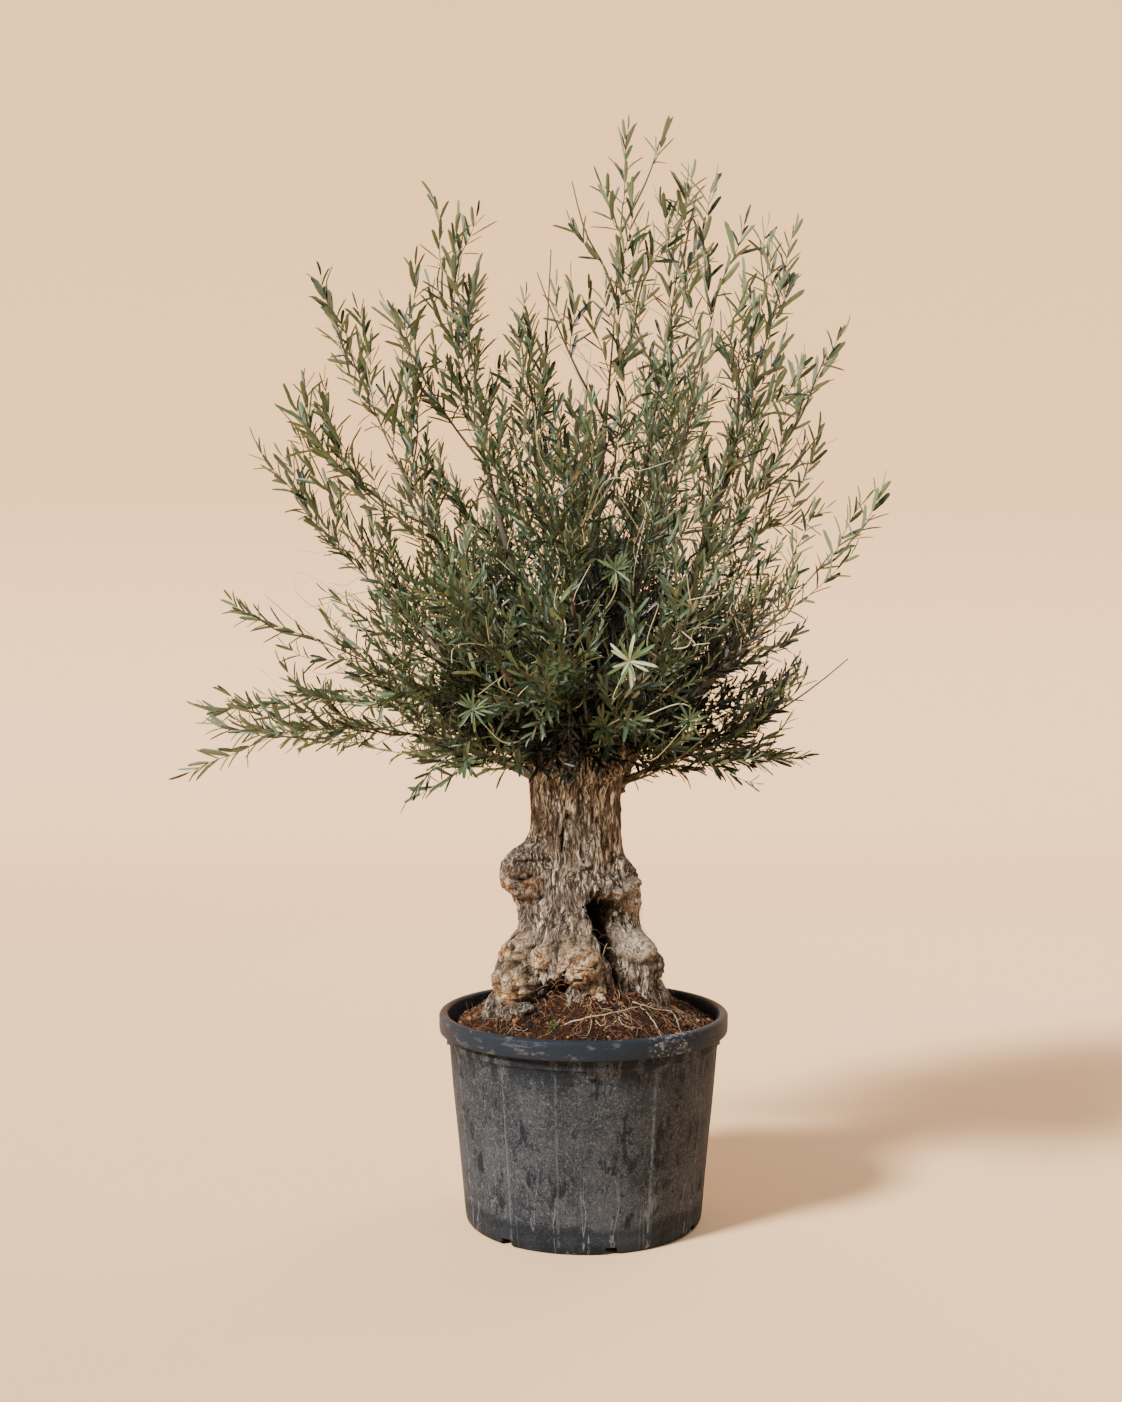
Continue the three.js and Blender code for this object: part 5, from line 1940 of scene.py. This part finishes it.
def build_weed():
    """A tiny seedling in the soil, left of the middle in front."""
    chance = np.random.default_rng(SEEDS["seedling"])
    root = on_soil(252, 205, -2)
    stems = []
    for number in range(5):
        way = towards(number * GOLDEN_TURN, chance.uniform(5, 12), chance.uniform(12, 21))
        stems.append(bowed(root, root + way, 0.05, WAND["rings"]))
    rows = []
    for number, stem in enumerate(stems):
        for share in np.linspace(0.35, 1, 5):
            way = unit(towards(chance.uniform(0, 360), 1.0, chance.uniform(0.2, 1.1)))
            face = unit(UP - way * way[2])
            length = chance.uniform(5, 9)
            rows.append((*Path(stem).at(share), *way, *face, length, length / 2.2, number))
    leaves = leaf_shapes(np.array(rows), chance)
    shape = merged([tubes(stems, 0.45, 3), leaves])
    material = plain_material("seedling_green", "seedling", 0.6)
    return settle(mesh_piece("seedling", shape, [material], sharp=60), "potting_soil")


def build_straw():
    """Bits of straw and fibre in the soil."""
    chance = np.random.default_rng(SEEDS["straw"])
    bars = []
    for _ in range(STRAW["count"]):
        azimuth = chance.uniform(0, 360)
        reach = lerp(0.45, 0.98, chance.random()) * pot_bore(SOIL["edge"])
        start = towards(azimuth, reach)[:2]
        length = chance.uniform(*STRAW["length"])
        heading, over = chance.uniform(0, 360), chance.uniform(0.2, 3)
        line = crawling(start, heading, length, chance, STRAW["rings"], 9, over)
        bars.append((line, chance.uniform(0.35, 0.85)))
    materials = [
        plain_material("pale_straw", "soil_light", 0.8),
        plain_material("brown_fibre", "rootlet", 0.9),
    ]
    slots = chance.choice(2, len(bars))
    straw = build_bars("straw", bars, materials, slots, STRAW["sides"])
    return settle(straw, "potting_soil")


# ------------------------------------------------------------------------- the stage


def select_edges(piece, wanted):
    """Selects in edit mode the edges whose ends both pass the test."""
    bpy.ops.mesh.select_mode(type="EDGE")
    bpy.ops.mesh.select_all(action="DESELECT")
    bpy.ops.object.mode_set(mode="OBJECT")
    for edge in piece.data.edges:
        edge.select = all(wanted(piece.data.vertices[i].co) for i in edge.vertices)
    bpy.ops.object.mode_set(mode="EDIT")


def build_stage():
    """A floor whose back edge curves up into a wall behind the tree."""
    bpy.ops.object.select_all(action="DESELECT")
    bpy.ops.mesh.primitive_plane_add(size=BACKDROP["floor"], location=(0, 0, 0))
    floor = bpy.context.object
    floor.name = "floor_and_backdrop"
    for vertex in floor.data.vertices:
        vertex.co.y = min(vertex.co.y, BACKDROP["distance"])
    bpy.ops.object.mode_set(mode="EDIT")
    select_edges(floor, lambda place: place.y > 0)
    rise = (0, 0, BACKDROP["height"])
    bpy.ops.mesh.extrude_region_move(TRANSFORM_OT_translate={"value": rise})
    select_edges(floor, lambda place: place.y > 0 and place.z < 0.1)
    bpy.ops.mesh.bevel(offset=BACKDROP["cove"], segments=24)
    bpy.ops.object.mode_set(mode="OBJECT")
    bpy.ops.object.shade_smooth()
    floor.data.materials.append(plain_material("matt_studio_paint", "stage", 0.9))
    return floor


def aim_at(thing, place, target):
    thing.location = place
    away = Vector(place) - Vector(target)
    thing.rotation_euler = away.to_track_quat("Z", "Y").to_euler()


def add_light(name, kind, place, target, power, colour, **settings):
    """A light that points at a target, with its size or spread among the settings."""
    data = bpy.data.lights.new(name, kind)
    for key, value in {"energy": power, "color": colour, **settings}.items():
        setattr(data, key, value)
    light = bpy.data.objects.new(name, data)
    light.visible_camera = False
    bpy.context.scene.collection.objects.link(light)
    aim_at(light, place, target)


def build_lights():
    """A soft low sun from the left, a cool fill from the right, and a light from behind."""
    warm, cool, pale = (1.0, 0.96, 0.91), (0.94, 0.97, 1.0), (0.96, 0.98, 1.0)
    spread = math.radians(11)
    add_light("sun", "SUN", (-3.7, -2.9, 4.7), (0, 0, 1.1), 8.3, warm, angle=spread)
    disk = {"shape": "DISK"}
    add_light("fill", "AREA", (3.8, -3.6, 1.8), (0, 0, 1.0), 36, cool, size=3.0, **disk)
    add_light("back", "AREA", (2.6, 2.3, 4.2), (0, 0, 1.3), 90, pale, size=2.2, **disk)
    world = bpy.data.worlds.new("studio")
    world.use_nodes = True
    sky = world.node_tree.nodes["Background"]
    sky.inputs["Color"].default_value = (*srgb("#dbe5f2"), 1)
    sky.inputs["Strength"].default_value = 0.34
    bpy.context.scene.world = world


def build_camera():
    """A camera a little over a metre up, almost level, in front of the tree."""
    data = bpy.data.cameras.new("camera")
    data.lens = CAMERA_LENS
    data.sensor_width = 36
    camera = bpy.data.objects.new("camera", data)
    bpy.context.scene.collection.objects.link(camera)
    camera.location = CAMERA_PLACE
    camera.rotation_euler = (math.radians(CAMERA_TILT), 0, 0)
    bpy.context.scene.camera = camera


# --------------------------------------------------------------------- the add-on


def colour_property(name, description, code):
    """A colour of the panel, given by its sRGB hex value."""
    return bpy.props.FloatVectorProperty(
        name=name, description=description, subtype="COLOR", size=3, min=0, max=1,
        default=srgb(code),
    )


class OliveSizes(bpy.types.PropertyGroup):
    """Sizes of the leaves, which change how full the crown looks."""

    leaf_length: bpy.props.FloatProperty(
        name="Leaf length",
        description="Length of a full-grown leaf",
        default=0.0555,
        unit="LENGTH",
    )
    leaf_slenderness: bpy.props.FloatProperty(
        name="Leaf slenderness", description="Length of a leaf over its width", default=5.8
    )
    leaf_spacing: bpy.props.FloatProperty(
        name="Leaf spacing",
        description="Distance between pairs of leaves along a wand",
        default=0.0208,
        unit="LENGTH",
    )


class OliveColours(bpy.types.PropertyGroup):
    """Colours of the bark, leaves, pot, soil and stage."""

    # the dark of the furrows is partly painted shade
    bark_dark: colour_property("Dark bark", "Furrows between the ridges", "#4c4239")
    bark_mid: colour_property("Bark", "Sides of the ridges", "#c3b19b")
    # the pale of the crests is partly painted highlight
    bark_light: colour_property("Light bark", "Weathered crests of the ridges", "#f8eddd")
    # the fissure colour is mostly painted shade: in fissures, pits and hollows, and over the
    # boughs
    bark_groove_shade: colour_property("Fissure", "Bottom of fissures and hollows", "#1a120c")
    # brown bark in patches, and the painted shade under the crown
    bark_brown_and_crown_shade: colour_property("Brown bark", "Younger bark under the crown", "#5c534b")
    burl_tan: colour_property("Tan wood", "Bare wood on the burls", "#e5bf8b")
    burl_rust: colour_property("Rust", "Rust-brown stains on the burls", "#985e2d")
    burl_grey: colour_property("Grey wood", "Smooth weathered wood", "#a39483")
    twig_grey: colour_property("Stem bark", "Bark of the stems", "#5a5044")
    twig_brown: colour_property("Twig bark", "Bark of the side twigs", "#515039")
    twig_green: colour_property("Shoot bark", "Bark of this year's shoots", "#56664a")
    whip: colour_property("Whip bark", "Pale bark of the long thin shoots", "#cbc6a6")
    # the shade green and shade felt are painted shade on the leaves in the crown's heart
    leaf_shade: colour_property("Shade green", "Upper side of inner leaves", "#0a0e07")
    # the deep green is also the painted half shade round the crown's heart
    leaf_deep: colour_property("Deep green", "Upper side of old leaves", "#212e1a")
    leaf_green: colour_property("Green", "Upper side of most leaves", "#2f3d22")
    leaf_grey: colour_property("Grey green", "Upper side of waxy leaves", "#42533a")
    leaf_young: colour_property("Young green", "Upper side of young leaves", "#546843")
    # painted shade on the undersides of the leaves in the crown's heart
    under_shade: colour_property("Shade felt", "Underside of inner leaves", "#20261b")
    under_silver: colour_property("Silver", "Felted underside", "#79866c")
    under_pale: colour_property("Pale", "Brightest leaves of the rosettes", "#b4bd9c")
    under_green: colour_property("Pale green", "Thinner felt on the underside", "#6a7b59")
    plastic: colour_property("Pot", "Clean plastic of the pot", "#0f151c")
    rim: colour_property("Rim", "Clean satin rim of the pot", "#232a33")
    dust: colour_property("Dust", "Dried dust on the pot", "#42464b")
    # the pale of the panels' edges is partly painted highlight
    scuff: colour_property("Scuff", "Scuffs and worn edges of the wall", "#858a90")
    rim_scuff: colour_property("Rim scuff", "Rubbed patches of the rim", "#55565a")
    # the dark soil is also the painted shade in the gaps between crumbs
    soil_dark: colour_property("Dark soil", "Gaps and damp spots in the peat", "#0f0703")
    soil: colour_property("Soil", "Moist peat", "#4c2a15")
    soil_light: colour_property("Light soil", "Dry crumbs and fibres", "#8a5a34")
    root: colour_property("Root", "Dry bark of the surface roots", "#b8a48a")
    rootlet: colour_property("Rootlet", "Bark of thin roots and fibres", "#7a5d43")
    seedling: colour_property("Seedling", "Leaves of the seedling", "#55682f")
    stage: colour_property("Stage", "Floor and backdrop", "#f4cb9b")


class ShootStore:
    """The grown crown, made once and shared by the pieces that need it."""

    crown = None
    shoots = None
    sprigs = None
    whips = None
    bark = None

    @classmethod
    def grown(cls):
        if cls.shoots is None:
            cls.crown = Crown()
            cls.shoots = [grow_shoot(cls.crown, i) for i in range(len(LEADERS))]
            cls.sprigs = grow_head_sprigs(cls.crown)
            cls.whips = grow_whips(cls.crown)
            cls.bark = bark_material()
        return cls


class OLIVE_OT_stage(bpy.types.Operator):
    """Makes the floor, the lights and the camera"""

    bl_idname = "olive.stage"
    bl_label = "Stage"

    def execute(self, context):
        build_camera()
        build_lights()
        build_stage()
        return {"FINISHED"}


class OLIVE_OT_trunk(bpy.types.Operator):
    """Makes the trunk with its burls, hollows and fissured bark"""

    bl_idname = "olive.trunk"
    bl_label = "Trunk"

    def execute(self, context):
        build_trunk(ShootStore.grown().bark)
        build_bark_fibres()
        return {"FINISHED"}


class OLIVE_OT_boughs(bpy.types.Operator):
    """Makes the bare boughs"""

    bl_idname = "olive.boughs"
    bl_label = "Boughs"

    def execute(self, context):
        store = ShootStore.grown()
        build_boughs(store.crown, store.bark)
        return {"FINISHED"}


class OLIVE_OT_twigs(bpy.types.Operator):
    """Makes the stems, twigs and wands"""

    bl_idname = "olive.twigs"
    bl_label = "Twigs"

    def execute(self, context):
        store = ShootStore.grown()
        build_twigs(store.shoots, store.sprigs, store.whips)
        return {"FINISHED"}


class OLIVE_OT_leaves(bpy.types.Operator):
    """Makes the leaves in pairs up every wand"""

    bl_idname = "olive.leaves"
    bl_label = "Leaves"

    def execute(self, context):
        store = ShootStore.grown()
        build_leaves(store.shoots, store.sprigs)
        return {"FINISHED"}


class OLIVE_OT_pot(bpy.types.Operator):
    """Makes the nursery pot"""

    bl_idname = "olive.pot"
    bl_label = "Pot"

    def execute(self, context):
        build_pot()
        return {"FINISHED"}


class OLIVE_OT_soil(bpy.types.Operator):
    """Makes the soil, its crumbs, roots and straw"""

    bl_idname = "olive.soil"
    bl_label = "Soil"

    def execute(self, context):
        build_soil()
        build_crumbs()
        build_roots()
        build_straw()
        build_weed()
        return {"FINISHED"}


class OLIVE_PT_panel(bpy.types.Panel):
    """Lists the pieces of the tree and its pot"""

    bl_label = "Potted olive tree"
    bl_idname = "OLIVE_PT_panel"
    bl_space_type = "VIEW_3D"
    bl_region_type = "UI"
    bl_category = "Olive"

    def draw(self, context):
        for name in PIECES:
            self.layout.operator(f"olive.{name}")
        for group in (context.scene.olive_sizes, context.scene.olive_colours):
            for key in group.__annotations__:
                self.layout.prop(group, key)


PIECES = ("stage", "trunk", "boughs", "twigs", "leaves", "pot", "soil")
CLASSES = (
    OliveSizes,
    OliveColours,
    OLIVE_OT_stage,
    OLIVE_OT_trunk,
    OLIVE_OT_boughs,
    OLIVE_OT_twigs,
    OLIVE_OT_leaves,
    OLIVE_OT_pot,
    OLIVE_OT_soil,
    OLIVE_PT_panel,
)


def register():
    for one in CLASSES:
        bpy.utils.register_class(one)
    bpy.types.Scene.olive_sizes = bpy.props.PointerProperty(type=OliveSizes)
    bpy.types.Scene.olive_colours = bpy.props.PointerProperty(type=OliveColours)


def unregister():
    del bpy.types.Scene.olive_colours
    del bpy.types.Scene.olive_sizes
    for one in reversed(CLASSES):
        bpy.utils.unregister_class(one)


def main():
    register()
    for name in PIECES:
        getattr(bpy.ops.olive, name)()


if __name__ == "__main__":
    main()
